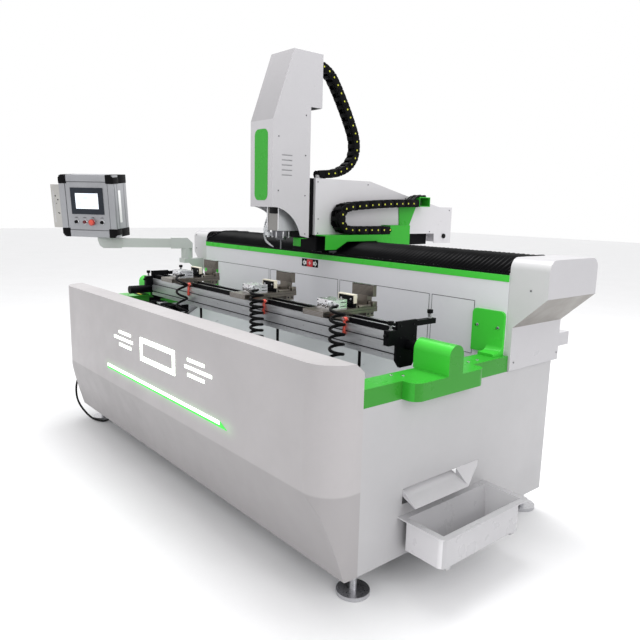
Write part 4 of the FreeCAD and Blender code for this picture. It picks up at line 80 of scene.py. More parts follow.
class Shader:
    """A node tree with the texture coordinates that its patterns share."""

    def __init__(self, name, roughness=0.5, metallic=0.0):
        self.material = bpy.data.materials.new(name)
        self.material.use_nodes = True
        self.tree = self.material.node_tree
        self.surface = self.tree.nodes["Principled BSDF"]
        self.surface.inputs["Roughness"].default_value = roughness
        self.surface.inputs["Metallic"].default_value = metallic
        self.place = self.node("ShaderNodeTexCoord").outputs["Object"]

    def node(self, kind, **settings):
        made = self.tree.nodes.new(kind)
        for name, setting in settings.items():
            setattr(made, name, setting)
        return made

    def link(self, source, target):
        self.tree.links.new(source, target)

    def noise(self, scale, detail=3.0, stretch=(1, 1, 1), rough=0.55):
        """A noise pattern: scale in cycles for each metre."""
        mapping = self.node("ShaderNodeMapping")
        mapping.inputs["Scale"].default_value = stretch
        self.link(self.place, mapping.inputs["Vector"])
        texture = self.node("ShaderNodeTexNoise")
        texture.inputs["Scale"].default_value = scale
        texture.inputs["Detail"].default_value = detail
        texture.inputs["Roughness"].default_value = rough
        self.link(mapping.outputs["Vector"], texture.inputs["Vector"])
        return texture.outputs["Fac"]

    def ramp(self, source, *stops):
        """Colours at places of a pattern."""
        ramp = self.node("ShaderNodeValToRGB")
        while len(ramp.color_ramp.elements) < len(stops):
            ramp.color_ramp.elements.new(0.5)
        for element, (place, colour) in zip(ramp.color_ramp.elements, stops):
            element.position = place
            element.color = (*colour, 1)
        self.link(source, ramp.inputs["Fac"])
        return ramp.outputs["Color"]

    def spread(self, source, low, high):
        """The pattern as numbers from low to high."""
        remap = self.node("ShaderNodeMapRange")
        remap.inputs["From Min"].default_value = 0.3
        remap.inputs["From Max"].default_value = 0.7
        remap.inputs["To Min"].default_value = low
        remap.inputs["To Max"].default_value = high
        self.link(source, remap.inputs["Value"])
        return remap.outputs["Result"]

    def mix(self, share, first, second):
        """Two colour outputs mixed by a pattern."""
        mixed = self.node("ShaderNodeMix", data_type="RGBA")
        self.link(share, mixed.inputs["Factor"])
        self.link(first, mixed.inputs["A"])
        self.link(second, mixed.inputs["B"])
        return mixed.outputs["Result"]

    def bump(self, source, height, strength=1.0):
        bump = self.node("ShaderNodeBump")
        bump.inputs["Distance"].default_value = height
        bump.inputs["Strength"].default_value = strength
        self.link(source, bump.inputs["Height"])
        self.link(bump.outputs["Normal"], self.surface.inputs["Normal"])


def shade(colour, factor):
    return tuple(min(channel * factor, 1) for channel in colour)


def paint(name, colour, roughness=0.35, coat=0.25, tone=0.06, peel=0.00006, shine=0.5):
    """Sprayed paint: slight cloudiness, orange peel and uneven gloss."""
    shader = Shader(name, roughness)
    shader.surface.inputs["Specular IOR Level"].default_value = shine
    cloud = shader.noise(1.7, 4)
    dust = shader.noise(38, 6, rough=0.7)
    base = shader.ramp(cloud, (0.3, shade(colour, 1 - tone)), (0.7, shade(colour, 1 + tone)))
    worn = shader.ramp(cloud, (0.3, shade(colour, 0.95 - tone)), (0.7, shade(colour, 0.97)))
    specks = shader.spread(dust, 0.0, 0.3)
    shader.link(shader.mix(specks, base, worn), shader.surface.inputs["Base Color"])
    gloss = shader.spread(shader.noise(9, 4), roughness * 0.8, roughness * 1.25)
    shader.link(gloss, shader.surface.inputs["Roughness"])
    shader.surface.inputs["Coat Weight"].default_value = coat
    shader.surface.inputs["Coat Roughness"].default_value = 0.18
    shader.bump(shader.noise(420, 2), peel)
    return shader.material


def metal(name, colour, roughness=0.3, stretch=(1, 1, 1), grain=120, tone=0.15, metallic=1.0):
    """Machined or drawn metal: fine lines along one direction and uneven gloss."""
    shader = Shader(name, roughness, metallic)
    lines = shader.noise(grain, 5, stretch, 0.7)
    cloud = shader.noise(6, 4)
    fine = shader.ramp(lines, (0.3, shade(colour, 1 - tone)), (0.7, shade(colour, 1 + tone)))
    dull = shader.ramp(lines, (0.3, shade(colour, 0.8 - tone)), (0.7, shade(colour, 0.9)))
    share = shader.spread(cloud, 0.0, 0.6)
    shader.link(shader.mix(share, fine, dull), shader.surface.inputs["Base Color"])
    gloss = shader.spread(lines, roughness * 0.75, roughness * 1.35)
    shader.link(gloss, shader.surface.inputs["Roughness"])
    shader.bump(lines, 0.00004)
    return shader.material


def plastic(name, colour, roughness=0.45, grain=260, tone=0.12, height=0.00008, shine=0.5):
    """Moulded plastic or rubber with a fine spark eroded grain."""
    shader = Shader(name, roughness)
    shader.surface.inputs["Specular IOR Level"].default_value = shine
    pattern = shader.noise(grain, 3)
    dust = shader.noise(14, 5, rough=0.7)
    base = shader.ramp(dust, (0.3, shade(colour, 1 - tone)), (0.75, shade(colour, 1 + 3 * tone)))
    shader.link(base, shader.surface.inputs["Base Color"])
    gloss = shader.spread(dust, roughness * 0.8, roughness * 1.2)
    shader.link(gloss, shader.surface.inputs["Roughness"])
    shader.bump(pattern, height)
    return shader.material


STRIP_X = (-546, 621)
STRIP_Z = (479, 505)
CREASE = 406


def band(shader, axis, start, stop):
    """0 before one place along an axis and 1 behind another, laid out in millimetres."""
    offset = {"X": -LAYOUT_SIDE, "Y": -LAYOUT_BACK, "Z": 0}[axis]
    parts = shader.node("ShaderNodeSeparateXYZ")
    shader.link(shader.place, parts.inputs["Vector"])
    remap = shader.node("ShaderNodeMapRange")
    remap.inputs["From Min"].default_value = (start + offset) * MM
    remap.inputs["From Max"].default_value = (stop + offset) * MM
    shader.link(parts.outputs[axis], remap.inputs["Value"])
    return remap.outputs["Result"]


def product(shader, first, *others):
    for other in others:
        times = shader.node("ShaderNodeMath", operation="MULTIPLY")
        shader.link(first, times.inputs[0])
        if isinstance(other, float):
            times.inputs[1].default_value = other
        else:
            shader.link(other, times.inputs[1])
        first = times.outputs["Value"]
    return first


def paint_glow_and_crease_shade(material):
    """Painted green light that the lit strip throws on the shell round it, and painted shade on the
    shell below its crease.
    """
    shader = Shader.__new__(Shader)
    shader.material, shader.tree = material, material.node_tree
    shader.surface = shader.tree.nodes["Principled BSDF"]
    shader.place = shader.node("ShaderNodeTexCoord").outputs["Object"]
    low, high = STRIP_Z
    left, right = STRIP_X
    # painted light: green emission on the shell round the lit strip
    light = product(
        shader,
        band(shader, "Z", low - 45, low),
        band(shader, "Z", high + 45, high),
        band(shader, "X", left - 60, left + 10),
        band(shader, "X", right + 95, right + 10),
        band(shader, "Y", -140, -151),
    )
    square = shader.node("ShaderNodeMath", operation="POWER")
    square.inputs[1].default_value = 2.2
    shader.link(light, square.inputs[0])
    strength = product(shader, square.outputs["Value"], 0.17)
    # painted shade: a darker copy of the white, mixed in on the shell below the crease
    tone = shader.ramp(shader.noise(1.7, 4), (0.3, shade(WHITE, 0.78)), (0.7, shade(WHITE, 0.84)))
    painted = shader.surface.inputs["Base Color"].links[0].from_socket
    below = band(shader, "Z", CREASE + 3, CREASE - 3)
    shader.link(shader.mix(below, painted, tone), shader.surface.inputs["Base Color"])
    shader.surface.inputs["Emission Color"].default_value = (0.25, 0.85, 0.22, 1)
    shader.link(strength, shader.surface.inputs["Emission Strength"])


def lit_strip():
    """White acrylic with a green lower edge and a green tip."""
    shader = Shader("lit_strip", 0.3)
    cells = shader.noise(60, 2)
    white = shader.ramp(cells, (0.3, (0.82, 1.0, 0.80)), (0.7, (0.95, 1.0, 0.92)))
    green = shader.ramp(cells, (0.3, (0.015, 0.50, 0.03)), (0.7, (0.03, 0.66, 0.04)))
    low, high = STRIP_Z
    edge = band(shader, "Z", low + 0.42 * (high - low), low + 0.34 * (high - low))
    tip = band(shader, "X", STRIP_X[1] - 52, STRIP_X[1] - 49)
    share = shader.node("ShaderNodeMath", operation="MAXIMUM")
    shader.link(edge, share.inputs[0])
    shader.link(tip, share.inputs[1])
    colour = shader.mix(share.outputs["Value"], white, green)
    shader.link(colour, shader.surface.inputs["Base Color"])
    shader.link(colour, shader.surface.inputs["Emission Color"])
    power = shader.node("ShaderNodeMapRange")
    power.inputs["To Min"].default_value = 2.2
    power.inputs["To Max"].default_value = 0.75
    shader.link(share.outputs["Value"], power.inputs["Value"])
    shader.link(power.outputs["Result"], shader.surface.inputs["Emission Strength"])
    return shader.material


def lit(name, colour, strength, edge):
    """A backlit acrylic face, slightly cloudy."""
    shader = Shader(name, 0.3)
    cells = shader.noise(60, 2)
    colours = shader.ramp(cells, (0.3, edge), (0.7, colour))
    shader.link(colours, shader.surface.inputs["Emission Color"])
    shader.link(colours, shader.surface.inputs["Base Color"])
    shader.surface.inputs["Emission Strength"].default_value = strength
    return shader.material


def cover_paint(name, colour):
    """Smooth satin paint of the covers."""
    return paint(name, colour, 0.34, 0.08, 0.03, shine=0.35)


def enamel(name, colour):
    return paint(name, colour, 0.3, 0.06, 0.05, shine=0.16)


SHEETS = paint("white_powder_coat", WHITE, 0.42, 0.05, shine=0.3)
COVERS = cover_paint("white_gloss_cover", (0.52, 0.51, 0.53))
RAM_COVERS = cover_paint("white_ram_cover", (0.60, 0.59, 0.61))
# painted shade: a darker copy of the cover paint for the head's sloped front face
SHADED_HEAD_SLOPE = cover_paint("white_head_slope_painted_shade", (0.425, 0.415, 0.43))
# painted light: a lighter copy of the cover paint for the end covers' front faces
LIT_END_FRONTS = cover_paint("white_end_front_painted_light", (0.60, 0.595, 0.605))
# painted shade: a dark warm grey for the shaded, downward sloping faces of the white end covers
SHADED_END_SLOPES = paint("end_slope_painted_shade", (0.22, 0.205, 0.187), 0.4, 0.05, 0.05, shine=0.3)
END_COVERS = cover_paint("white_end_cover", (0.455, 0.448, 0.465))
PALE_COVERS = paint("white_gloss_tray", (0.45, 0.445, 0.46), 0.3, 0.2, 0.03)
# painted light: a lighter copy of the tray's white for its front faces
LIT_TRAY_FRONT = paint("white_tray_front_painted_light", (0.70, 0.69, 0.71), 0.3, 0.2, 0.03)
# painted light: a lighter white for the beam's front covers, making up for light they get less of
LIT_BEAM_PANELS = paint("white_beam_panel_painted_light", (0.74, 0.735, 0.77), 0.35, 0.1, 0.03)
PANELS = paint("white_side_panel", (0.42, 0.415, 0.425), 0.42, 0.05, 0.04, shine=0.3)
FRAME_GREY = paint("grey_frame_paint", (0.52, 0.52, 0.54), 0.5, 0.0)
GREENS = enamel("green_enamel", GREEN)
# painted light: a lighter copy of the green enamel for front faces, the corner brackets and the
# beam's stripe
LIT_GREENS = enamel("green_enamel_painted_light", shade(GREEN, 1.55))
# painted shade: a darker copy of the green enamel for the beams' end faces
SHADED_GREENS = enamel("green_enamel_painted_shade", (0.036, 0.255, 0.026))
PAN = paint("pan_paint", (0.34, 0.36, 0.37), 0.34, 0.1, 0.12)
ARM_GREY = paint("arm_grey_paint", (0.47, 0.49, 0.48), 0.35, 0.1, 0.04)
BLACKS = paint("black_machine_paint", (0.004, 0.004, 0.005), 0.45, 0.0, 0.2, shine=0.05)
RAILS = metal("ground_rail_steel", (0.50, 0.51, 0.53), 0.2, (0.2, 6, 6))
STEELS = metal("turned_steel", (0.58, 0.58, 0.60), 0.3, (1, 1, 6))
ALU = metal("anodised_profile", (0.62, 0.63, 0.65), 0.36, (0.15, 6, 6), 90, 0.08, 0.85)
PENDANT_ALU = metal("pendant_profile", (0.36, 0.365, 0.385), 0.42, (4, 4, 0.3), 70, 0.05, 0.35)
CUTTER = metal("cutter_steel", (0.16, 0.16, 0.17), 0.35, (1, 1, 1), 300)
# milled metal, made darker as painted shade for the spindle housing's front faces
SHADED_MILLED_FRONT = metal("milled_spindle_front_painted_shade", (0.30, 0.292, 0.28), 0.4, (1, 1, 4), 110, 0.08, 0.6)
PLATES = metal("brown_ground_plate", (0.24, 0.215, 0.185), 0.33, (0.3, 5, 5), 150, 0.22)
CYLINDERS = metal("bright_cylinder", (0.80, 0.80, 0.82), 0.22, (5, 1, 5), 110, 0.1, 0.9)
DARK_ZINC = metal("dark_screw", (0.12, 0.12, 0.13), 0.4, (1, 1, 1), 300)
ZINC = metal("zinc_screw", (0.55, 0.56, 0.58), 0.35, (1, 1, 1), 300)
RUBBER = plastic("black_rubber", (0.003, 0.003, 0.0035), 0.36, shine=0.10)
BELLOWS_CLOTH = plastic("bellows_cloth", (0.0025, 0.0025, 0.003), 0.34, 600, 0.3, 0.0001, shine=0.05)
CHAIN = plastic("chain_plastic", (0.0035, 0.0035, 0.004), 0.40, shine=0.06)
DARK = plastic("dark_plastic", (0.0035, 0.0035, 0.004), 0.38, shine=0.07)
CREAM = plastic("cream_cap", (0.66, 0.62, 0.50), 0.4, 200, 0.05)
CLEAR = plastic("pale_fitting", (0.62, 0.64, 0.66), 0.18, 120, 0.05)
RED = plastic("red_handle", (0.62, 0.075, 0.05), 0.32, 160, 0.05)
STOP_RED = plastic("red_stop_button", (0.40, 0.022, 0.018), 0.32, 160, 0.05)
DARK_RED = plastic("dark_red_button", (0.10, 0.008, 0.012), 0.25)
BADGE_RED = plastic("badge_red", (0.62, 0.02, 0.03), 0.4, 160, 0.05)
BADGE_WHITE = plastic("badge_white", (0.75, 0.75, 0.75), 0.4, 160, 0.03)
DOTS = plastic("yellow_link_dot", (0.50, 0.52, 0.03), 0.45, 160, 0.05)
BEZEL = plastic("slate_bezel", (0.014, 0.018, 0.026), 0.4, shine=0.25)
HOSE_GREY = plastic("grey_hose_segment", (0.42, 0.43, 0.45), 0.35)
# a grey that is the screws' own colour, and also the painted shade in the head's vent slits
GREY_AND_VENT_SHADE = paint("screw_grey_and_vent_painted_shade", (0.24, 0.24, 0.25), 0.5, 0.0)
PALE_ALU = metal("wing_sheet", (0.50, 0.49, 0.47), 0.5, (1, 1, 1), 60, 0.06, 0.5)
SHADOW = plastic("gap_shadow", (0.03, 0.03, 0.034), 0.8, shine=0.1)
YELLOW = plastic("yellow_tag", (0.55, 0.45, 0.02), 0.5)
LIT_WHITE = lit("lit_white", (0.93, 1.0, 0.90), 3.2, (0.80, 1.0, 0.78))
LIT_STRIP = lit_strip()
# the shell's paint gets painted green light round the lit strip and painted shade below its crease
paint_glow_and_crease_shade(SHEETS)
SCREEN = lit("lit_screen", (0.84, 0.88, 0.95), 0.55, (0.74, 0.80, 0.90))
SCREEN_INK = lit("lit_screen_ink", (0.66, 0.74, 0.90), 0.42, (0.58, 0.68, 0.86))


# Building pieces


class Piece:
    """A mesh under construction, laid out in millimetres."""

    def __init__(self, name, *paints):
        self.name = name
        self.paints = paints
        self.mesh = bmesh.new()

    def colour(self, verts, paint):
        for vert in verts:
            for face in vert.link_faces:
                face.material_index = paint

    def soften(self, edges, width):
        if width:
            bmesh.ops.bevel(
                self.mesh, geom=list(edges), offset=width, segments=2, profile=0.5,
                affect="EDGES", clamp_overlap=True, material=-1,
            )

    def block(self, corner, other, bevel=0.0, paint=0, turn=None):
        """A box between two corners, turned about its middle."""
        low, high = Vector(map(min, corner, other)), Vector(map(max, corner, other))
        shape = Matrix.Diagonal((*(high - low), 1))
        place = Matrix.Translation((low + high) / 2) @ (turn or Matrix()) @ shape
        verts = bmesh.ops.create_cube(self.mesh, size=1, matrix=place)["verts"]
        self.colour(verts, paint)
        self.soften({edge for vert in verts for edge in vert.link_edges}, bevel)

    def rod(self, start, end, radius, paint=0, sides=20, bevel=0.0, tip=None):
        """A round bar between two points, with softened rims."""
        start, end = Vector(start), Vector(end)
        along = end - start
        turn = Vector((0, 0, 1)).rotation_difference(along).to_matrix().to_4x4()
        verts = bmesh.ops.create_cone(
            self.mesh, cap_ends=True, segments=sides, radius1=radius,
            radius2=radius if tip is None else tip, depth=along.length,
            matrix=Matrix.Translation((start + end) / 2) @ turn,
        )["verts"]
        self.colour(verts, paint)
        way = along.normalized()
        rims = {
            edge
            for vert in verts
            for edge in vert.link_edges
            if abs((edge.verts[0].co - edge.verts[1].co).normalized().dot(way)) < 0.5
        }
        self.soften(rims, bevel)

    def pin(self, start, way, *settings):
        """A rod from a point along a way."""
        self.rod(start, Vector(start) + Vector(way), *settings)

    def ball(self, centre, radius, paint=0, squash=(1, 1, 1)):
        place = Matrix.Translation(centre) @ Matrix.Diagonal((*squash, 1))
        verts = bmesh.ops.create_uvsphere(
            self.mesh, u_segments=16, v_segments=10, radius=radius, matrix=place
        )["verts"]
        self.colour(verts, paint)

    def plate(self, axis, outline, low, high, bevel=0.0, paint=0):
        """An outline drawn square to an axis and given a thickness."""
        index = "xyz".index(axis)

        def corner(pair, depth):
            place = list(pair)
            place.insert(index, depth)
            return self.mesh.verts.new(place)

        first = [corner(pair, low) for pair in outline]
        last = [corner(pair, high) for pair in outline]
        faces = [self.mesh.faces.new(first), self.mesh.faces.new(last[::-1])]
        for n in range(len(outline)):
            m = (n + 1) % len(outline)
            faces.append(self.mesh.faces.new((first[n], last[n], last[m], first[m])))
        bmesh.ops.recalc_face_normals(self.mesh, faces=faces)
        for face in faces:
            face.material_index = paint
        self.soften({edge for vert in first + last for edge in vert.link_edges}, bevel)

    def tube(self, points, radius, paint=0, sides=12, radii=None):
        """A round skin along a line of points."""
        points = [Vector(point) for point in points]
        turns = [math.tau * k / sides for k in range(sides)]
        rings = []
        side = None
        for n, point in enumerate(points):
            along = (points[min(n + 1, len(points) - 1)] - points[max(n - 1, 0)]).normalized()
            if side is None:
                side = along.orthogonal().normalized()
            side = (side - along * side.dot(along)).normalized()
            up = along.cross(side)
            size = radii[n] if radii else radius
            rings.append([
                self.mesh.verts.new(
                    point + side * (size * math.cos(turn)) + up * (size * math.sin(turn))
                )
                for turn in turns
            ])
        faces = [self.mesh.faces.new(rings[0][::-1]), self.mesh.faces.new(rings[-1])]
        for first, second in zip(rings, rings[1:]):
            for k in range(sides):
                m = (k + 1) % sides
                faces.append(self.mesh.faces.new((first[k], first[m], second[m], second[k])))
        for face in faces:
            face.material_index = paint

    def object(self, place=LAYOUT, smooth=35):
        """The piece as an object in the frame."""
        data = bpy.data.meshes.new(self.name)
        self.mesh.transform(place)
        self.mesh.to_mesh(data)
        self.mesh.free()
        for material in self.paints:
            data.materials.append(material)
        for polygon in data.polygons:
            polygon.use_smooth = True
        data.set_sharp_from_angle(angle=math.radians(smooth))
        made = bpy.data.objects.new(self.name, data)
        bpy.context.scene.collection.objects.link(made)
        return made

    def ride(self, body, replaces=(), place=LAYOUT, smooth=35):
        made = self.object(place, smooth)
        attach(made, body)
        if replaces:
            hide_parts(*replaces)


def islands(node):
    """The separate bits of a node: each a set of polygon numbers with its laid out corners."""
    data = NODES[node].data
    parent = {}

    def root(key):
        while parent[key] != key:
            parent[key] = parent[parent[key]]
            key = parent[key]
        return key

    keys = [tuple(round(axis * 1e5) for axis in vert.co) for vert in data.vertices]
    for key in keys:
        parent.setdefault(key, key)
    for polygon in data.polygons:
        first = root(keys[polygon.vertices[0]])
        for vertex in polygon.vertices[1:]:
            parent[root(keys[vertex])] = first
    bits = {}
    for polygon in data.polygons:
        bits.setdefault(root(keys[polygon.vertices[0]]), []).append(polygon.index)
    found = []
    for polygons in bits.values():
        places = [
            UNLAID @ data.vertices[v].co for p in polygons for v in data.polygons[p].vertices
        ]
        low = Vector(min(place[axis] for place in places) for axis in range(3))
        high = Vector(max(place[axis] for place in places) for axis in range(3))
        found.append((polygons, low, high))
    return found


def dress(node, material, bevel=0.0, bits=()):
    """Gives a node its finish and, where asked, softened edges.

    bits are pairs: another material, and a test of one solid's laid out corners."""
    data = NODES[node].data
    data.materials.clear()
    data.materials.append(material)
    for polygon in data.polygons:
        polygon.material_index = 0
    if bits:
        solids = islands(node)
        for number, (other, test) in enumerate(bits, 1):
            data.materials.append(other)
            for polygons, low, high in solids:
                if test(low, high):
                    for index in polygons:
                        data.polygons[index].material_index = number
    if bevel:
        weld = NODES[node].modifiers.new("weld", "WELD")
        weld.merge_threshold = 0.00002
        edge = NODES[node].modifiers.new("soft_edges", "BEVEL")
        edge.width = bevel * MM
        edge.segments = 2
        edge.limit_method = "ANGLE"
        edge.angle_limit = math.radians(40)
        edge.use_clamp_overlap = True
        NODES[node].modifiers.new("normals", "WEIGHTED_NORMAL")


BEAM_TOP = 758
FLANGE_TOP = 1206.5
CUTTER_TOP = 1161.5


def paint_faces(node, material, test):
    """Another material on the faces whose laid out middle and normal pass a test: a real finish, or
    a lighter or darker copy that paints light or shade.
    """
    data = NODES[node].data
    data.materials.append(material)
    for polygon in data.polygons:
        if test(UNLAID @ polygon.center, polygon.normal):
            polygon.material_index = len(data.materials) - 1


def screws(name, body, normal, places, radius=4.0, material=None):
    """Socket screws with a dark recess, standing on a face."""
    piece = Piece(name, material or ZINC, SHADOW)
    way = Vector(normal)
    for place in places:
        base = Vector(place)
        top = base + way * (radius * 0.45)
        piece.rod(base, top, radius, 0, 18, radius * 0.15)
        piece.rod(top, top + way * (radius * 0.06), radius * 0.5, 1, 6)
    piece.ride(body)


# Finishes of the frame's own pieces, with lighter and darker copies of some paints as painted light
# and shade


def finish_base():
    dress("base_frame", FRAME_GREY, 2)
    dress("levelling_feet", STEELS, 1)
    dress("front_shell", SHEETS, 4)
    dress("light_panel", LIT_WHITE, 0, [(LIT_STRIP, lambda low, high: high.x - low.x > 800)])
    dress("base_panels", PANELS, 1)
    dress("chip_chute", COVERS, 1)
    dress("chip_tray", PALE_COVERS, 2.5)
    # painted light on the chip tray's front faces
    paint_faces("chip_tray", LIT_TRAY_FRONT, lambda middle, normal: normal.y < -0.7)
    dress("chip_pan", PAN, 1)
    dress("end_beams", GREENS, 4)
    # painted shade on the end faces of the green beams
    paint_faces("end_beams", SHADED_GREENS, lambda middle, normal: abs(normal.x) > 0.7)
    # painted light: the lighter green copy on the front faces of the beams' top bumps
    paint_faces(
        "end_beams",
        LIT_GREENS,
        lambda middle, normal: normal.y < -0.3 and middle.z > BEAM_TOP and abs(normal.x) < 0.7,
    )
    # painted light: the corner brackets take the lighter green copy
    dress("corner_brackets", LIT_GREENS, 3)
    dress("gantry_beam", FRAME_GREY, 3)
    dress("long_rails", RAILS, 1)
    plates = [(BLACKS, lambda low, high: high.x - low.x < 200 and low.z > 990)]
    # painted light: the beam's covers take the lighter white
    dress("beam_covers", LIT_BEAM_PANELS, 1, plates)
    # painted light: the beam's stripe takes the lighter green copy
    dress("beam_stripe", LIT_GREENS, 1)
    dress("end_covers", END_COVERS, 5)
    # painted light on the front faces of the end covers
    paint_faces("end_covers", LIT_END_FRONTS, lambda middle, normal: normal.y < -0.7)
    # painted shade on the downward sloping faces of the end covers
    paint_faces("end_covers", SHADED_END_SLOPES, lambda middle, normal: -0.95 < normal.z < -0.3)
    dress("tilt_gearmotor", BLACKS, 3)
    dress("pendant_post", ARM_GREY, 2)


def finish_head():
    dress("saddle", BLACKS, 4)
    dress("saddle_runners", DARK_ZINC, 2)
    dress("chain_bracket", GREENS, 3)
    dress("ram_beam", BLACKS, 3)
    dress("ram_guides", RAILS, 1)
    dress("ram_cover", RAM_COVERS, 5, [(DARK, lambda low, high: high.y - low.y < 40)])
    dress("cross_motor", BLACKS, 5)
    dress("chain_arm", GREENS, 2)
    dress("head_cover", COVERS, 5)
    # painted shade on the sloped front face of the head
    paint_faces(
        "head_cover", SHADED_HEAD_SLOPE, lambda middle, normal: normal.y < -0.3 and normal.z > 0.1
    )
    dress("head_inlay", GREENS, 1)
    dress("lift_slide", BLACKS, 2, [(RAILS, lambda low, high: high.x - low.x < 25)])
    dress("spindle_housing", ALU, 2)
    # painted shade on the spindle housing's front faces
    paint_faces("spindle_housing", SHADED_MILLED_FRONT, lambda middle, normal: normal.y < -0.7)
    paint_faces("spindle_housing", DARK_ZINC, lambda middle, normal: middle.z < FLANGE_TOP)
    dress("spindle_nose", DARK_ZINC, 1)
    paint_faces("spindle_nose", CUTTER, lambda middle, normal: middle.z < CUTTER_TOP)
    dress("stop_block", GREENS, 3)


def finish_table():
    dress("table_beam", ALU, 1.5, [(DARK, lambda low, high: high.x - low.x < 30)])
    dress("table_rails", BLACKS, 2)
    dress("table_ends", BLACKS, 4)
    dress("profile_stops", BLACKS, 2)
    for number in CLAMPS:
        blocks = [(CYLINDERS, lambda low, high: high.y - low.y < 100)]
        dress(f"clamp_base_{number}", PLATES, 1.5, blocks)
        dress(f"clamp_jaw_{number}", BLACKS, 2)


def finish_pendant():
    dress("pendant_arm", ARM_GREY, 5)
    dress("pendant_case", PENDANT_ALU, 2)
    rings = [(CYLINDERS, lambda low, high: high.z - low.z < 34)]
    dress("pendant_trim", DARK, 5, rings)
    glass = [(SCREEN, lambda low, high: high.z - low.z < 130)]
    dress("pendant_screen", BEZEL, 1, glass)
    dress("start_button", DARK, 1.5)
    dress("pause_button", DARK_RED, 1.5)
    dress("emergency_stop", STOP_RED, 3)
    dress("reset_button", DARK, 1.5)


def finish_nodes():
    finish_base()
    finish_head()
    finish_table()
    finish_pendant()


CLAMPS = {1: -650, 2: 80, 3: 645}
HOSE_TURNS = {1: 3.5, 2: 9.5, 3: 6.5}
CLAMP_HALF = 65
CLAMP_FRONT = 240
PLATE_TOP = 914.3
CYLINDER_FRONT = 303
CYLINDER_HALF = 50
CYLINDER_TOP = 954.3
CYLINDER_MIDDLE = 934.3
JAW_FRONT, JAW_REAR = 421, 438
COIL_SIDE = 107
COIL_RADIUS = 28
COIL_FRONT = 306
COIL_LOW = 672
HOSE_RADIUS = 6.6
HOSE_BEND = 22
HOSE_SEAT = 381
HOSE_STOP = 755
LEVER_SIDE = 102
LEVER_HEIGHT = 884.3

# Soft pieces

CABLE_ROUTE = [
    (-1222, 60, 330),
    (-1222, 10, 330),
    (-1226, -34, 308),
    (-1231, -68, 272),
    (-1234, -88, 225),
    (-1233, -94, 172),
    (-1229, -90, 120),
    (-1217, -74, 72),
    (-1189, -52, 32),
    (-1143, -36, 10),
    (-1092, -20, 7),
    (-1046, 10, 7),
    (-1020, 31, 27),
    (-1004, 43, 62),
    (-1004, 43, 100),
]
CABLE_RADIUS = 6


def supply_cable():
    """A rubber cable from the block on the left panel down to the floor and in below."""
    data = bpy.data.curves.new("rubber_cable", "CURVE")
    data.dimensions = "3D"
    data.bevel_depth = CABLE_RADIUS * MM
    data.bevel_resolution = 6
    data.resolution_u = 10
    spline = data.splines.new("NURBS")
    spline.points.add(len(CABLE_ROUTE) - 1)
    for point, place in zip(spline.points, CABLE_ROUTE):
        point.co = (*spot(*place), 1)
    spline.order_u = 3
    spline.use_endpoint_u = True
    cable = bpy.data.objects.new("rubber_cable", data)
    bpy.context.scene.collection.objects.link(cable)
    data.materials.append(RUBBER)
    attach(cable, "base")
    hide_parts("supply_cable")
    relief = Piece("cable_relief", DARK)
    start = Vector(CABLE_ROUTE[0])
    for ring in range(5):
        near = start + Vector((0, -1 - ring * 4, 0))
        relief.pin(near, (0, -3, 0), 12 - ring * 0.8, 0, 24, 0.8)
    relief.pin(start, (0, -21, 0), 8, 0, 24, 0.5, 7)
    relief.ride("base")


ROOF_FRONT, ROOF_REAR = 800, 1080
ROOF_LOW = 1088
ROOF_RISE = 58
ROOF_TAIL_RISE = 37
ROOF_SLOPE = 130
ROOF_FLAT = 115
FOLD_PITCH = 24
FOLD_OUT = 5.0
FOLD_IN = 4.0
FOLD_STEPS = 8
BOARD_EDGE = 7.5


def roof_outline():
    """The bellows' section from front to rear, with rounded corners, and outward ways."""
    corners = [
        Vector((ROOF_FRONT, ROOF_LOW)),
        Vector((ROOF_FRONT + ROOF_SLOPE, ROOF_LOW + ROOF_RISE)),
        Vector((ROOF_FRONT + ROOF_SLOPE + ROOF_FLAT, ROOF_LOW + ROOF_RISE)),
        Vector((ROOF_REAR, ROOF_LOW + ROOF_TAIL_RISE)),
        Vector((ROOF_REAR, ROOF_LOW)),
    ]
    line = [corners[0]]
    for before, corner, after in zip(corners, corners[1:], corners[2:]):
        reach = 0.25 * min((corner - before).length, (after - corner).length)
        start = corner - (corner - before).normalized() * reach
        end = corner + (after - corner).normalized() * reach
        for step in range(5):
            share = step / 4
            line.append(
                start.lerp(corner, share).lerp(corner.lerp(end, share), share)
            )
    line.append(corners[-1])
    found = []
    for n, place in enumerate(line):
        along = (line[min(n + 1, len(line) - 1)] - line[max(n - 1, 0)]).normalized()
        found.append((place, Vector((-along.y, along.x))))
    return found


def fold_height(phase):
    """Height of a pleat: a rounded crest and a sharp valley."""
    return FOLD_OUT - (FOLD_OUT + FOLD_IN) * abs(math.cos(math.pi * phase)) ** 1.6


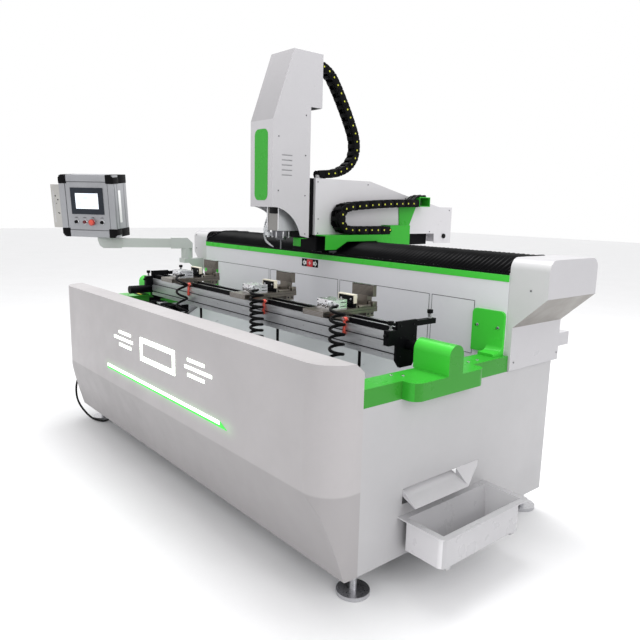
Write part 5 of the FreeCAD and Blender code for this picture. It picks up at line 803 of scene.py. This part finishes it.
def bellows(name, start, stop):
    """One folded cover over the rails, between two given ends; on the machine it closes up as the
    saddle comes.
    """
    piece = Piece(name, BELLOWS_CLOTH)
    folds = round((stop - start) / FOLD_PITCH)
    columns = folds * FOLD_STEPS
    outline = roof_outline()
    rows = []
    for column in range(columns + 1):
        phase = column / FOLD_STEPS
        number = int(phase)
        slack = noise.noise((number * 0.73, start * 0.01, 0)) * 1.2
        place = start + (stop - start) * column / columns
        lean = noise.noise((number * 0.31, 7.0, start * 0.01)) * 3.0
        row = []
        for n, (point, out) in enumerate(outline):
            share = n / (len(outline) - 1)
            height = fold_height(phase) + slack * math.sin(math.pi * share)
            height = max(height, -FOLD_IN)
            sag = 1 + noise.noise((column * 0.02, share * 3, 1))
            droop = -2.0 * math.sin(math.pi * share) * sag
            shift = lean * math.sin(math.tau * share) * math.sin(math.pi * (phase % 1))
            row.append(
                piece.mesh.verts.new((
                    place + shift,
                    point.x + out.x * height,
                    max(point.y + out.y * height + droop * 0.5, ROOF_LOW + 0.2),
                ))
            )
        rows.append(row)
    for first, second in zip(rows, rows[1:]):
        for n in range(len(outline) - 1):
            piece.mesh.faces.new((first[n], first[n + 1], second[n + 1], second[n]))
    made = piece.object(smooth=60)
    thick = made.modifiers.new("thickness", "SOLIDIFY")
    thick.thickness = 1.2 * MM
    thick.offset = -1
    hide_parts("bellows")
    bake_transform(made)


def bellows_boards():
    """End boards of the bellows, a little larger than their section."""
    ring = [tuple(point + out * BOARD_EDGE) for point, out in roof_outline()]
    for name, inner, outer in (("left", -1180, -1170), ("right", 1170, 1180)):
        piece = Piece(f"{name}_bellows_board", BLACKS)
        piece.plate("x", ring, inner, outer, 1.5)
        piece.ride("base")


def nodes_of_chain(node, rear_first):
    """Middles of a chain's links in order, found on the frame, laid out."""
    middles = [(low + high) / 2 for _, low, high in islands(node)]
    current = max(middles, key=rear_first)
    order = [current]
    left = [middle for middle in middles if middle != current]
    while left:
        current = min(left, key=lambda middle: (middle - order[-1]).length)
        left.remove(current)
        order.append(current)
    return order


CHAIN_HOSES = 4


def chain(name, node, first, height):
    """A drag chain: side plates with a pivot dot, crossbars and the hoses inside."""
    low, high = limits(node)
    middles = nodes_of_chain(node, first)
    piece = Piece(name, CHAIN, DOTS, SHADOW, RUBBER)
    count = len(middles)
    pivots = [middles[0] * 1.5 - middles[1] * 0.5]
    pivots += [(a + b) / 2 for a, b in zip(middles, middles[1:])]
    pivots.append(middles[-1] * 1.5 - middles[-2] * 0.5)
    side = high.x - low.x
    for number in range(count):
        a, b = pivots[number], pivots[number + 1]
        along = (b - a).normalized()
        up = Vector((0, -along.z, along.y))
        reach = (b - a).length
        half = height / 2 - 0.4
        inward = 3.2 if number % 2 else 0.4
        for outer, inner in (
            (low.x + inward, low.x + inward + 3.4),
            (high.x - inward - 3.4, high.x - inward),
        ):
            ring = []
            for centre, start_angle in ((b, -70), (a, 110)):
                for step in range(5):
                    turn = math.radians(start_angle + step * 35)
                    offset = along * math.cos(turn) * half * 0.92 + up * math.sin(turn) * half
                    place = centre + offset
                    ring.append((place.y, place.z))
            waist = 0.80 * half
            middle = (a + b) / 2
            top = middle + up * waist
            bottom = middle - up * waist
            ring.insert(5, (top.y, top.z))
            ring.append((bottom.y, bottom.z))
            piece.plate("x", ring, outer, inner, 0.7)
        for sign in (-1, 1):
            bar = (a + b) / 2 + up * (sign * (half - 2.4))
            turn = Matrix.Rotation(math.atan2(along.z, along.y), 4, "X")
            size = Vector((side / 2 - 1.2, reach * 0.24, 1.9))
            piece.block(bar - size, bar + size, 0.8, 0, turn)
            ridge = (a + b) / 2 + up * (sign * (half - 0.7))
            slim = Vector((side / 2 - 8, reach * 0.1, 0.7))
            piece.block(ridge - slim, ridge + slim, 0.4, 0, turn)
        for face, way in ((low.x, 1), (high.x, -1)):
            hub = Vector((face + way * inward, a.y, a.z))
            piece.rod(hub, hub - Vector((way * 0.5, 0, 0)), height * 0.24, 0, 20, 0.2)
            dot = Vector((face + way * 0.4, a.y, a.z)) - up * (height * 0.04)
            piece.rod(dot, dot - Vector((way * 0.7, 0, 0)), height * 0.105, 1, 16, 0.2)
    for k in range(CHAIN_HOSES):
        share = (k + 0.7) / (CHAIN_HOSES + 0.4)
        across = low.x + 6 + (side - 12) * share
        wave = 0.12 * height * (-1) ** k
        line = [
            Vector((across, pivot.y, pivot.z + wave * (0.3 if n in (0, count) else 1)))
            for n, pivot in enumerate(pivots)
        ]
        piece.tube(line, height * (0.14 + 0.02 * (k % 2)), 3, 10)
    made = piece.object(smooth=40)
    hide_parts(node)
    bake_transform(made)


def air_hose(number):
    """A coiled hose from the clamp's cylinder down to the fitting under the table."""
    middle = CLAMPS[number] + COIL_SIDE
    fitting = CLAMPS[number] + CYLINDER_HALF
    top = CYLINDER_MIDDLE
    depth = COIL_FRONT - COIL_RADIUS
    line = [
        (fitting, 320, top),
        (fitting + 9, 319, top),
        (fitting + 17, 311, top),
        (middle - COIL_RADIUS, 296, top),
        (middle - COIL_RADIUS, 284, top),
    ]
    turns = HOSE_TURNS[number]
    steps = int(turns * 16)
    for step in range(steps + 1):
        share = step / steps
        angle = math.pi + share * turns * math.tau
        swell = 1 + 0.06 * noise.noise((share * 9, number, 0)) * math.sin(math.pi * share)
        line.append((
            middle + COIL_RADIUS * swell * math.cos(angle),
            depth + COIL_RADIUS * swell * math.sin(angle),
            top - (top - COIL_LOW) * share,
        ))
    end = line[-1]
    line.append((end[0], (end[1] + HOSE_SEAT - HOSE_BEND) / 2, COIL_LOW))
    for step in range(7):
        angle = math.radians(15 * step)
        height = COIL_LOW + HOSE_BEND - HOSE_BEND * math.cos(angle)
        if height < HOSE_STOP - 2:
            line.append((end[0], HOSE_SEAT - HOSE_BEND + HOSE_BEND * math.sin(angle), height))
    line.append((end[0], HOSE_SEAT, HOSE_STOP))
    piece = Piece(f"coiled_hose_{number}", RUBBER, CLEAR)
    piece.tube(smooth_line(line, 3), HOSE_RADIUS)
    made = piece.object(smooth=60)
    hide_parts(f"air_hose_{number}")
    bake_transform(made)


def smooth_line(points, steps):
    """More points between the given ones, on a curve that passes through them."""
    points = [Vector(point) for point in points]
    found = []
    for n in range(len(points) - 1):
        before = points[max(n - 1, 0)]
        start, end = points[n], points[n + 1]
        after = points[min(n + 2, len(points) - 1)]
        for step in range(steps):
            t = step / steps
            found.append(
                0.5 * (
                    2 * start
                    + (end - before) * t
                    + (2 * before - 5 * start + 4 * end - after) * t**2
                    + (3 * start - before - 3 * end + after) * t**3
                )
            )
    found.append(points[-1])
    return found


COOLANT_LINE = [
    (-22.5, 523, 1292),
    (-42, 523, 1292),
    (-58, 512, 1270),
    (-67, 504, 1238),
    (-70, 500, 1206),
    (-66, 498, 1178),
    (-50, 497, 1152),
    (-20, 498, 1136),
    (10, 500, 1124),
]


def coolant_hose():
    """A segmented hose with a pointed nozzle beside the cutter."""
    line = smooth_line(COOLANT_LINE, 12)
    radii = []
    for n in range(len(line)):
        share = n / (len(line) - 1)
        bead = abs(math.sin(math.pi * n / 4))
        radii.append(2.6 + 3.2 * bead if share < 0.85 else 5.5 - 4.0 * (share - 0.85) / 0.15)
    piece = Piece("coolant_segments", HOSE_GREY)
    piece.tube(line, 6, 0, 14, radii)
    piece.ride("head", ("coolant_hose",), smooth=50)


# Camera, lights and floor

EYE = (2.74255, -2.15223, 1.32449)
VIEW_AZIMUTH = 49.6667
VIEW_ELEVATION = -10.2629
VIEW_ROLL = 1.3722
LENS = 34.942


def photo_camera():
    """The view of the photo, as found from the machine's corners."""
    azimuth, elevation = math.radians(VIEW_AZIMUTH), math.radians(VIEW_ELEVATION)
    forward = Vector((
        -math.sin(azimuth) * math.cos(elevation),
        math.cos(azimuth) * math.cos(elevation),
        math.sin(elevation),
    ))
    right = Vector((math.cos(azimuth), math.sin(azimuth), 0))
    up = right.cross(forward)
    roll = math.radians(VIEW_ROLL)
    tilted = right * math.cos(roll) + up * math.sin(roll)
    upright = tilted.cross(forward)
    turn = Matrix((tilted, upright, -forward)).transposed()
    data = bpy.data.cameras.new("camera")
    data.lens = LENS
    data.sensor_width = 36
    data.clip_end = 60
    camera = bpy.data.objects.new("camera", data)
    camera.matrix_world = Matrix.Translation(EYE) @ turn.to_4x4()
    bpy.context.scene.collection.objects.link(camera)
    bpy.context.scene.camera = camera


def lights():
    """A white room with three area lights."""
    world = bpy.data.worlds.new("studio")
    world.use_nodes = True
    world.node_tree.nodes["Background"].inputs["Color"].default_value = (1, 1, 1, 1)
    world.node_tree.nodes["Background"].inputs["Strength"].default_value = 1.0
    bpy.context.scene.world = world
    for name, place, aim, size, power in (
        ("key", (0.6, -4.4, 4.4), (0, 0.2, 1.0), 2.0, 4),
        ("side", (5.6, -0.4, 3.2), (0.4, 0, 1.0), 2.2, 62),
        ("top", (-0.2, 0.4, 5.2), (0, 0, 0.6), 3.0, 210),
    ):
        light_data = bpy.data.lights.new(name, "AREA")
        light_data.size = size
        light_data.energy = power
        light = bpy.data.objects.new(name, light_data)
        way = Vector(aim) - Vector(place)
        light.matrix_world = (
            Matrix.Translation(place) @ way.to_track_quat("-Z", "Y").to_matrix().to_4x4()
        )
        bpy.context.scene.collection.objects.link(light)


def studio():
    photo_camera()
    lights()
    floor = Piece("floor", paint("pale_floor", (0.86, 0.86, 0.87), 0.6, 0.0, 0.01))
    wide = 30000
    corners = [(-wide, -wide, -1), (wide, -wide, -1), (wide, wide, -1), (-wide, wide, -1)]
    floor.mesh.faces.new([floor.mesh.verts.new(corner) for corner in corners])
    floor.object()
    bpy.context.scene.view_settings.view_transform = "Standard"
    bpy.context.scene.view_settings.look = "None"


# Small parts


def cover_details():
    """Screws of the covers and of the green beams, and the edge below the bellows."""
    screws("end_cover_screws", "base", (0, -1, 0), [
        (1276, 803, 1028), (-1318, 803, 1028), (-1318, 803, 1118),
    ], 4.5, GREY_AND_VENT_SHADE)
    screws("skirt_screws", "base", (1, 0, 0), [(1208, 1159, 727), (1208, 830, 727)], 4, GREY_AND_VENT_SHADE)
    screws("end_beam_screws", "base", (0, 0, 1), [
        (side * x, y, 756)
        for side in (-1, 1)
        for x, y in ((1129, 199), (1157, 229), (1168, 584), (1129, 60), (1168, 640))
    ], 6)
    screws("bracket_screws", "base", (0, -1, 0), [
        (side * x, 788, 865) for side in (-1, 1) for x in (1054, 1153)
    ], 6)
    seat = Piece("bellows_seat", BLACKS, BADGE_WHITE)
    seat.block((-1180, 798.2, 1079.3), (1180, 799.4, 1088.4), 0.3)
    seat.block((-1180, 799, 1087.6), (1180, 822, 1089.2), 0.3)
    for step in range(97):
        seat.ball((-1152 + step * FOLD_PITCH, 803.5, 1089.4), 1.7, 1, (1, 1, 0.5))
    seat.ride("base")


DOOR_FACE = 799
DOOR_LOW, DOOR_TOP = 735, 959
SEAM_HALF = 1.1
BADGE_MIDDLE, BADGE_HEIGHT = -64.5, 1025


def door_seams():
    near, far = DOOR_FACE - 0.3, DOOR_FACE + 0.2
    seams = Piece("door_seams", SHADOW)
    for low, high in ((-1024, -445), (-429, 168), (184, 781), (797, 1024)):
        for z in (DOOR_LOW, DOOR_TOP):
            seams.block((low, near, z - SEAM_HALF), (high, far, z + SEAM_HALF))
        for x in (low, high):
            seams.block((x - SEAM_HALF, near, DOOR_LOW), (x + SEAM_HALF, far, DOOR_TOP))
    seams.ride("base")


def axis_badge():
    """A red plate with a cross, between two arrows along the beam."""
    badge = Piece("axis_badge", BADGE_RED, BADGE_WHITE, DARK)
    middle, rise, face = BADGE_MIDDLE, BADGE_HEIGHT, DOOR_FACE
    badge.block((middle - 25, face - 0.8, rise - 20), (middle + 25, face, rise + 20), 0.2)
    for sign in (-1, 1):
        tip = middle + sign * 62
        arrow = [
            (tip - sign * back, rise + up)
            for back, up in ((0, 0), (17, 17), (17, 9), (33, 9), (33, -9), (17, -9), (17, -17))
        ]
        badge.plate("y", arrow, face - 0.8, face, 0.15, 1)
        eye = tip - sign * 14
        ring = [(eye + 5 * a, rise + 5 * b) for a, b in ((1, 0), (0, 1), (-1, 0), (0, -1))]
        badge.plate("y", ring, face - 1.1, face - 0.7, 0, 2)
    for wide, high in ((9, 2), (2, 9)):
        low = (middle - wide, face - 1.1, rise - high)
        badge.block(low, (middle + wide, face - 0.7, rise + high), 0.2, 1)
    badge.ride("base")


HEAD_SCREWS = ((608, 1572), (608, 1380), (611, 1193), (608, 1760), (445, 1650), (445, 1400))
RAM_SCREWS = (
    (690, 1450), (696, 1267), (695, 1196), (1565, 1198), (1040, 1450), (1340, 1385), (1740, 1325),
)
SPINDLE_FRONT = 483
SPINDLE_X, SPINDLE_Y = 27.5, 533
BOLT_CIRCLE = 44


def spindle_details():
    """The motor's dark block and strips, bolts of the flange and coolant fittings."""
    piece = Piece("spindle_details", DARK, CYLINDERS, CLEAR, STEELS)
    front = SPINDLE_FRONT
    piece.block((3, front - 6, 1290), (68, front, 1400), 1)
    for left in (-22.5, 69.5):
        piece.block((left, front - 3, 1207), (left + 8, front, 1440), 0.8, 1)
    for step in range(8):
        turn = math.tau * (step + 0.5) / 8
        x, y = SPINDLE_X + BOLT_CIRCLE * math.cos(turn), SPINDLE_Y + BOLT_CIRCLE * math.sin(turn)
        piece.pin((x, y, 1172), (0, 0, 31), 4.2, 3, 12, 0.8)
    piece.block((-44, 476, 1196), (-20, 500, 1220), 2.5, 2)
    piece.block((-38, 480, 1180), (-6, 500, 1198), 2.5, 2)
    piece.pin((-34, 488, 1220), (0, 0, 12), 8, 2, 16, 1.5)
    piece.pin((-22, 490, 1182), (0, 0, -10), 7, 2, 16, 1.5)
    piece.pin((-10, 482, 1190), (0, -8, 0), 6, 2, 16, 1)
    piece.pin((-32, 478, 1208), (0, -8, 0), 7, 2, 16, 1)
    piece.pin((-22.5, 523, 1292), (12.5, 0, 0), 9, 3, 20, 1)
    piece.ride("head")


def head_details():
    """Screws and vents of the head, the chain's hose ends and the gland on the ram."""
    for name, sign, face in (("right", 1, 120), ("left", -1, -65)):
        for body, places in (("head", HEAD_SCREWS), ("ram", RAM_SCREWS)):
            spots = [(face, y, z) for y, z in places]
            screws(f"{name}_{body}_screws", body, (sign, 0, 0), spots, 3.4, DARK_ZINC)
    spindle_details()
    vents = Piece("vent_louvres", GREY_AND_VENT_SHADE, COVERS)
    for wall in (116.2, -64.8):
        for row in range(5):
            z = 1474 + row * 23.25
            # painted shade: the grey lower part of each vent slit, under a white strip
            vents.block((wall, 464, z - 3.4), (wall + 3.6, 527, z + 1.4), 0.3, 0)
            vents.block((wall, 464, z + 1.4), (wall + 3.6, 527, z + 3.4), 0.3, 1)
    vents.ride("head")
    step = Piece("head_step_shade", SHADOW)
    step.block((-60, 644, 1800.6), (115, 703, 1801.9), 0.2)
    step.ride("head")
    ends = Piece("chain_hose_ends", RUBBER, CLEAR)
    for x, height in ((140, 1384), (158, 1388), (176, 1383), (190, 1386)):
        line = [
            (x, 1300, 1366), (x, 1330, 1378), (x, 1362, height + 12), (x, 1395, height + 14),
            (x - 6, 1430, height + 17), (x - 30, 1462, height + 10), (x - 56, 1474, 1360),
        ]
        ends.tube(smooth_line(line, 5), 5.5)
    ends.ride("ram")
    gland = Piece("ram_gland", BADGE_WHITE, DARK)
    gland.block((58, 712, 1468), (108, 752, 1486), 2.5)
    for x in (70, 95):
        gland.pin((x, 732, 1486), (0, 0, 11), 8, 0, 6, 1)
        gland.pin((x, 732, 1497), (0, 0, 6), 5, 1, 16, 0.5)
    gland.ride("ram")


def clamp_fittings(piece):
    """Plugs, screws, valve and grooves of the air cylinder, about the clamp's middle."""
    front, top, side = CYLINDER_FRONT, CYLINDER_TOP, CYLINDER_HALF
    for x in (-36, -8, 20):
        piece.pin((x, front, 931), (0, -5, 0), 9, 3, 24, 1)
        piece.pin((x, front - 5, 931), (0, -1, 0), 6.5, 2)
        piece.pin((x, front - 5, 931), (0, -2, 0), 3.5, 0, 12, 0.6)
    for x in (-45, 6, 45):
        for z in (921, 947):
            piece.pin((x, front, z), (0, -1.5, 0), 3, 2, 12, 0.3)
    piece.pin((side, 320, CYLINDER_MIDDLE), (8, 0, 0), 8.5, 3, 6, 0.8)
    piece.pin((side + 8, 320, CYLINDER_MIDDLE), (6, -1, 0), 7.2, 1, 16, 1)
    piece.block((28, front - 14, 934), (44, front, 950), 2, 1)
    piece.pin((36, front - 14, 942), (0, -6, 0), 5, 3, 14, 0.8)
    for x in (-42, 42):
        for y in (318, 365):
            piece.pin((x, y, top), (0, 0, 0.5), 4, 2, 16)
    for x in (-36, 36):
        piece.pin((x, 342, top), (0, 0, 3), 5, 3, 18, 0.8)
        piece.pin((x, 342, top + 3), (0, 0, 0.3), 2.5, 2, 6)
    for sign in (-1, 1):
        for z in (925, 941):
            piece.block((sign * side, 346, z), (sign * (side + 0.8), 376, z + 3), 0.2, 2)


def clamp_blocks(piece):
    """Side blocks, screws and edge lines of the plate, and the ribs of the fixed jaw."""
    top, front, side = PLATE_TOP, CLAMP_FRONT, CLAMP_HALF
    for sign in (-1, 1):
        piece.block((sign * (side - 1), 440, top), (sign * 52, 508, top + 10), 1.5)
        piece.block((sign * (side - 1), 518, top), (sign * 36, 545, top + 20), 1.5)
        piece.pin((sign * 50, 531, top + 20), (0, 0, 4), 6, 3, 18, 1)
        piece.block((sign * side, front, 903), (sign * (side + 0.3), 545, 904.4), 0, 1)
        for y in (511, 534):
            piece.pin((sign * 45, y, 880), (sign * 0.7, 0, 0), 4.4, 1, 16)
    for x in (-52, 52):
        for y in (256, 280):
            piece.pin((x, y, top), (0, 0, 0.5), 4.5, 1, 16)
            piece.pin((x, y, top), (0, 0, 0.9), 2.6, 3, 6)
    for z in (897, 903, 909):
        piece.block((0.4 - side, front - 0.5, z), (side - 0.4, front, z + 1.3), 0, 2)
    for step in range(9):
        z = 960 + step * 5
        piece.block((-63, 515.4, z), (63, 516, z + 1.4), 0, 1)
    piece.block((-side, 516, 1001), (side, 536, 1005.2), 0.8, 2)


def jaw_pad(piece):
    """The cream cap, ribs and screws of the moving jaw."""
    near, far = JAW_FRONT - 0.6, JAW_REAR + 0.6
    piece.block((-50.6, near, 964), (50.6, far, 969.6), 1.5, 2)
    for sign in (-1, 1):
        piece.block((sign * 50.6, near, 932), (sign * 45, far, 967), 1.5, 2)
    for step in range(5):
        z = 920 + step * 9
        piece.block((-43, JAW_REAR - 0.4, z), (43, JAW_REAR + 1.2, z + 5), 0.5)
    for x in (-30, 30):
        piece.pin((x, JAW_FRONT, 948), (0, -1.5, 0), 5, 1, 16, 0.4)


def lever_handle(piece):
    """A hub with its screw, and an arm that hangs from it."""
    hub = Vector((LEVER_SIDE, 332.7, LEVER_HEIGHT))
    end = hub + Vector((0, -12, -58))
    piece.pin(hub, (0, -16, 0), 9, 0, 24, 1.5)
    piece.pin(hub + Vector((0, -16, 0)), (0, -0.8, 0), 4.5, 1, 16, 0.3)
    piece.rod(hub + Vector((0, -11, -4)), end, 5.2, 0, 16, 0.5, 7.2)
    piece.ball(end, 7.2, 0, (1, 1, 0.8))


def lock_bolts(piece):
    for x in (78, 112):
        piece.pin((x, 333, LEVER_HEIGHT), (0, -2, 0), 3.4, 0, 14, 0.5)


def clamp_details(number):
    """The small pieces of one clamp, drawn about its middle."""
    here = LAYOUT @ Matrix.Translation((CLAMPS[number], 0, 0))
    for draw, name, paints, body, slot in (
        (clamp_fittings, "clamp_fittings", (CYLINDERS, CLEAR, SHADOW, STEELS), "clamp", "alu"),
        (clamp_blocks, "clamp_blocks", (PLATES, SHADOW, RAILS, STEELS), "clamp", "clamp_grey"),
        (jaw_pad, "jaw_pad", (RUBBER, STEELS, CREAM), "jaw", "motor_black"),
        (lever_handle, "lever_handle", (RED, STEELS), "lever", "button_red"),
        (lock_bolts, "lock_bolts", (STEELS, SHADOW), "clamp", "steel"),
    ):
        piece = Piece(f"{name}_{number}", *paints)
        draw(piece)
        replaced = (f"clamp_lever_{number}",) if body == "lever" else ()
        piece.ride(f"{body}_{number}", replaced, here)


STOP_X = 1019


def table_tray():
    """A tray of cables below the table's left end, on two hangers."""
    tray = Piece("table_cable_tray", BLACKS, RUBBER, CYLINDERS)
    tray.block((-1012, 262, 716), (-640, 374, 722), 1)
    tray.block((-1012, 262, 722), (-640, 266, 738), 1)
    tray.block((-1012, 300, 722), (-1004, 372, 754.8), 0.5)
    tray.block((-652, 330, 722), (-644, 372, 754.8), 0.5)
    for x, wide, paint in ((-960, 70, 0), (-880, 46, 2), (-824, 60, 0), (-752, 52, 0)):
        tray.block((x, 284, 722), (x + wide, 340, 746), 3, paint)
    for y in (274, 352, 362):
        line = [
            (-1008, y, 728), (-930, y + 4, 734), (-850, y - 3, 729), (-760, y + 4, 735),
            (-645, y - 2, 730),
        ]
        tray.tube(smooth_line(line, 6), 5, 1, 10)
    tray.ride("table")


def stop_knobs(name, middle):
    """Ribs round each knob, its nut and thread, and the end of the stop's rod."""
    knobs = Piece(f"{name}_stop_knobs", RUBBER, STEELS, SHADOW)
    for y, z in ((303.5, 886), (522.5, 911)):
        for step in range(8):
            turn = math.tau * step / 8
            x, depth = middle + 10 * math.cos(turn), y + 10 * math.sin(turn)
            knobs.pin((x, depth, z + 20.5), (0, 0, 13), 1.7, 0, 8, 0.4)
        knobs.pin((middle, y, z), (0, 0, 4), 8.5, 1, 6, 0.6)
        for thread in range(4):
            knobs.pin((middle, y, z + 5 + thread * 3.6), (0, 0, 1.6), 5.7, 1, 16, 0.5)
    knobs.pin((middle, 281, 868), (0, -11, 0), 6, 0, 16, 1)
    knobs.ride("table")


def table_details():
    """Grooves and screws of the table beam, screws of its ends and of the stops."""
    piece = Piece("table_grooves", SHADOW, STEELS)
    for z in (793, 838):
        for y in (325.6, 435.8):
            piece.block((-1020, y, z - 2.2), (1020, y + 0.6, z + 2.2))
    for step in range(17):
        for z in (816, 781):
            piece.pin((-960 + step * 120, 326, z), (0, -0.8, 0), 3.2, 1, 14)
    piece.ride("table")
    table_tray()
    rail = Piece("table_rail_tops", RAILS)
    for y in (351, 411):
        rail.block((-1019, y - 6, 891.8), (1019, y + 6, 892.25), 0.1)
    rail.ride("table")
    for name, sign in (("left", -1), ("right", 1)):
        screws(f"{name}_table_screws", "table", (sign, 0, 0), [
            (sign * 1032, y, z) for y in (345, 417) for z in (785, 855, 900)
        ], 4.5, BLACKS)
        stop_knobs(name, sign * STOP_X)


PENDANT = (
    LAYOUT
    @ Matrix.Translation((-1514, 128, 1297))
    @ Matrix.Rotation(math.radians(36), 4, "Z")
    @ Matrix.Rotation(math.radians(5), 4, "X")
)


CASE_HALF = 195
CORNER_INNER = 143
CORNER_CUT = 20
BUTTON_X = (-90, -29, 30, 97)
BUTTON_Z = -101
STOP_BUTTON_X = 30
SCREEN_FACE = -5.4


def circle(middle, radius, steps, closed=0):
    """Pairs of places round a circle."""
    turns = [math.tau * step / steps for step in range(steps + closed)]
    return [(middle[0] + radius * math.cos(a), middle[1] + radius * math.sin(a)) for a in turns]


def pendant_profiles():
    """Rounded profiles round the box, with the seams between them."""
    half = CASE_HALF
    rails = Piece("pendant_profiles", PENDANT_ALU, SHADOW)
    for sign in (-1, 1):
        low, high = sign * (half + 3.5), sign * (half - 40)
        rails.block((-143, -3.9, low), (143, 3, high), 3.4)
        rails.block((low, -3.9, -143), (high, 3, 143), 3.4)
        line = sign * (half - 42)
        rails.block((-153, -0.6, line - 1.4), (153, 0.2, line + 1.4), 0, 1)
        rails.block((line - 1.0, -0.6, -153), (line + 1.0, 0.2, 153), 0, 1)
        low, high = sign * half, sign * (half + 3)
        for near, far in ((10, 34), (38, 112), (116, 146)):
            rails.block((low, near, -142), (high, far, 142), 2.4)
            rails.block((-142, near, low), (142, far, high), 2.4)
    rails.ride("pendant_box", place=PENDANT)


def pendant_corners():
    """Black corner caps, and the rings round the buttons."""
    trim = Piece("pendant_corners", DARK, CYLINDERS)
    inner, outer, wall = CORNER_INNER, CASE_HALF + 4, CASE_HALF + 2
    ring = [
        (inner, inner), (outer, inner), (outer, outer - CORNER_CUT),
        (outer - CORNER_CUT, outer), (inner, outer),
    ]
    for across in (-1, 1):
        for up in (-1, 1):
            trim.plate("y", [(across * x, up * z) for x, z in ring], -5.2, 60, 2.5)
            trim.block((across * inner, 58, up * inner), (across * wall, 154, up * wall), 4)
    for x in BUTTON_X:
        line = [(a, -2.5, b) for a, b in circle((x, BUTTON_Z), 13, 24, 1)]
        trim.tube(line, 2.2, 1, 10)
    trim.ride("pendant_box", ("pendant_trim",), PENDANT)
    light = Piece("pendant_light_strips", BADGE_WHITE)
    light.block((wall, 46, -104), (wall + 1.9, 72, 100), 1.2)
    light.ride("pendant_box", place=PENDANT)


def pendant_details():
    """Profiles, corners, the screen's picture, the side sheet and the buttons' marks."""
    pendant_profiles()
    pendant_corners()
    screen = Piece("screen_picture", SCREEN_INK, SCREEN)
    screen.block((-82, SCREEN_FACE, -16), (82, -5, 82), 0, 1)
    for low, high in (
        ((-74, 72), (40, 76)),
        ((-70, 8), (-40, 30)),
        ((-30, 44), (10, 62)),
        ((30, 30), (66, 34)),
        ((30, 42), (66, 46)),
        ((-30, -4), (66, 6)),
        ((-74, -12), (-60, -6)),
    ):
        screen.block((low[0], SCREEN_FACE - 0.3, low[1]), (high[0], SCREEN_FACE, high[1]))
    screen.ride("pendant_box", place=PENDANT)
    wing = Piece("wing_details", SHADOW, STEELS, PALE_ALU)
    wing.block((-261, -0.5, -142), (-196, -0.1, 135), 0, 2)
    for x, z, radius in (
        (-232, 62, 5), (-216, 38, 5), (-228, 14, 3), (-218, -46, 4), (-212, -50, 4),
    ):
        wing.pin((x, 0, z), (0, -0.9, 0), radius, 0, 14)
    wing.block((-249, -0.9, -108), (-243, 0, 96), 0.2, 1)
    wing.ride("pendant_box", place=PENDANT)
    marks = Piece("button_marks", SHADOW, CYLINDERS)
    for x in BUTTON_X:
        marks.block((x - 14, -0.4, -75), (x + 12, 0.1, -72.5))
        marks.block((x - 6, -0.4, -71), (x + 8, 0.1, -69.5))
    marks.ride("pendant_box", place=PENDANT)
    stop = Piece("stop_button_top", RED, DARK_RED)
    stop.pin((STOP_BUTTON_X, -24, BUTTON_Z), (0, -3.5, 0), 17, 0, 28, 1.5, 14)
    for x, z in circle((STOP_BUTTON_X, BUTTON_Z), 19.2, 12):
        stop.pin((x, -13, z), (0, -10, 0), 1.3, 1, 8)
    stop.ride("emergency_stop", place=PENDANT)


PANEL_BACK = 1136
VALVE_FLOOR = 500


def rear_details():
    """Louvres, screws and seams of the rear panels."""
    rear = Piece("rear_louvres", SHADOW, STEELS)
    back = PANEL_BACK
    for left in (-900, 600):
        for row in range(9):
            z = 330 + row * 24
            rear.block((left, back - 0.2, z), (left + 300, back + 1.2, z + 9), 0.4)
    for x in (-1160, -580, 0, 580, 1160):
        for z in (140, 420, 680):
            rear.pin((x, back, z), (0, 2.2, 0), 5, 1, 16, 0.6)
    for x in (-400, 400):
        rear.block((x - 1.2, back - 0.2, 110), (x + 1.2, back + 0.6, 690))
    rear.ride("base")


def base_details():
    """Threads of the feet, things in the pan and the tag on the left beam."""
    feet = Piece("foot_threads", STEELS)
    for _, low, high in islands("levelling_feet"):
        if high.z - low.z > 40:
            middle = (low + high) / 2
            for step in range(9):
                z = low.z + 8 + step * 5
                if z + 3 < high.z:
                    feet.pin((middle.x, middle.y, z), (0, 0, 2.4), 13, 0, 24, 0.8)
    feet.ride("base")
    rear_details()
    items = Piece("pan_valves", BLACKS, YELLOW, STEELS, RUBBER)
    for x, y, wide, deep, tall in (
        (-1095, 470, 60, 50, 46), (-1010, 500, 44, 60, 34), (-930, 455, 70, 40, 40),
    ):
        top = VALVE_FLOOR + tall
        items.block((x, y, VALVE_FLOOR), (x + wide, y + deep, top), 3)
        items.pin((x + wide / 2, y + deep / 2, top), (0, 0, 12), 9, 2, 16, 1)
    items.ride("base")
    tag = Piece("left_beam_tag", BLACKS, YELLOW)
    tag.block((-1196, 282, 756), (-1116, 352, 759), 1)
    tag.block((-1190, 296, 759), (-1122, 306, 760), 0.4, 1)
    tag.ride("base")


studio()
finish_nodes()
supply_cable()
bellows("left_bellows", -1170, -68.3)
bellows("right_bellows", 123.3, 1170)
bellows_boards()
chain(
    "cross_chain_links", "cross_chain", lambda middle: middle.y - middle.z * 100,
    44,
)
chain(
    "tall_chain_links", "tall_chain", lambda middle: middle.z,
    42,
)
for number in CLAMPS:
    air_hose(number)
    clamp_details(number)
coolant_hose()
cover_details()
door_seams()
axis_badge()
head_details()
table_details()
pendant_details()
base_details()
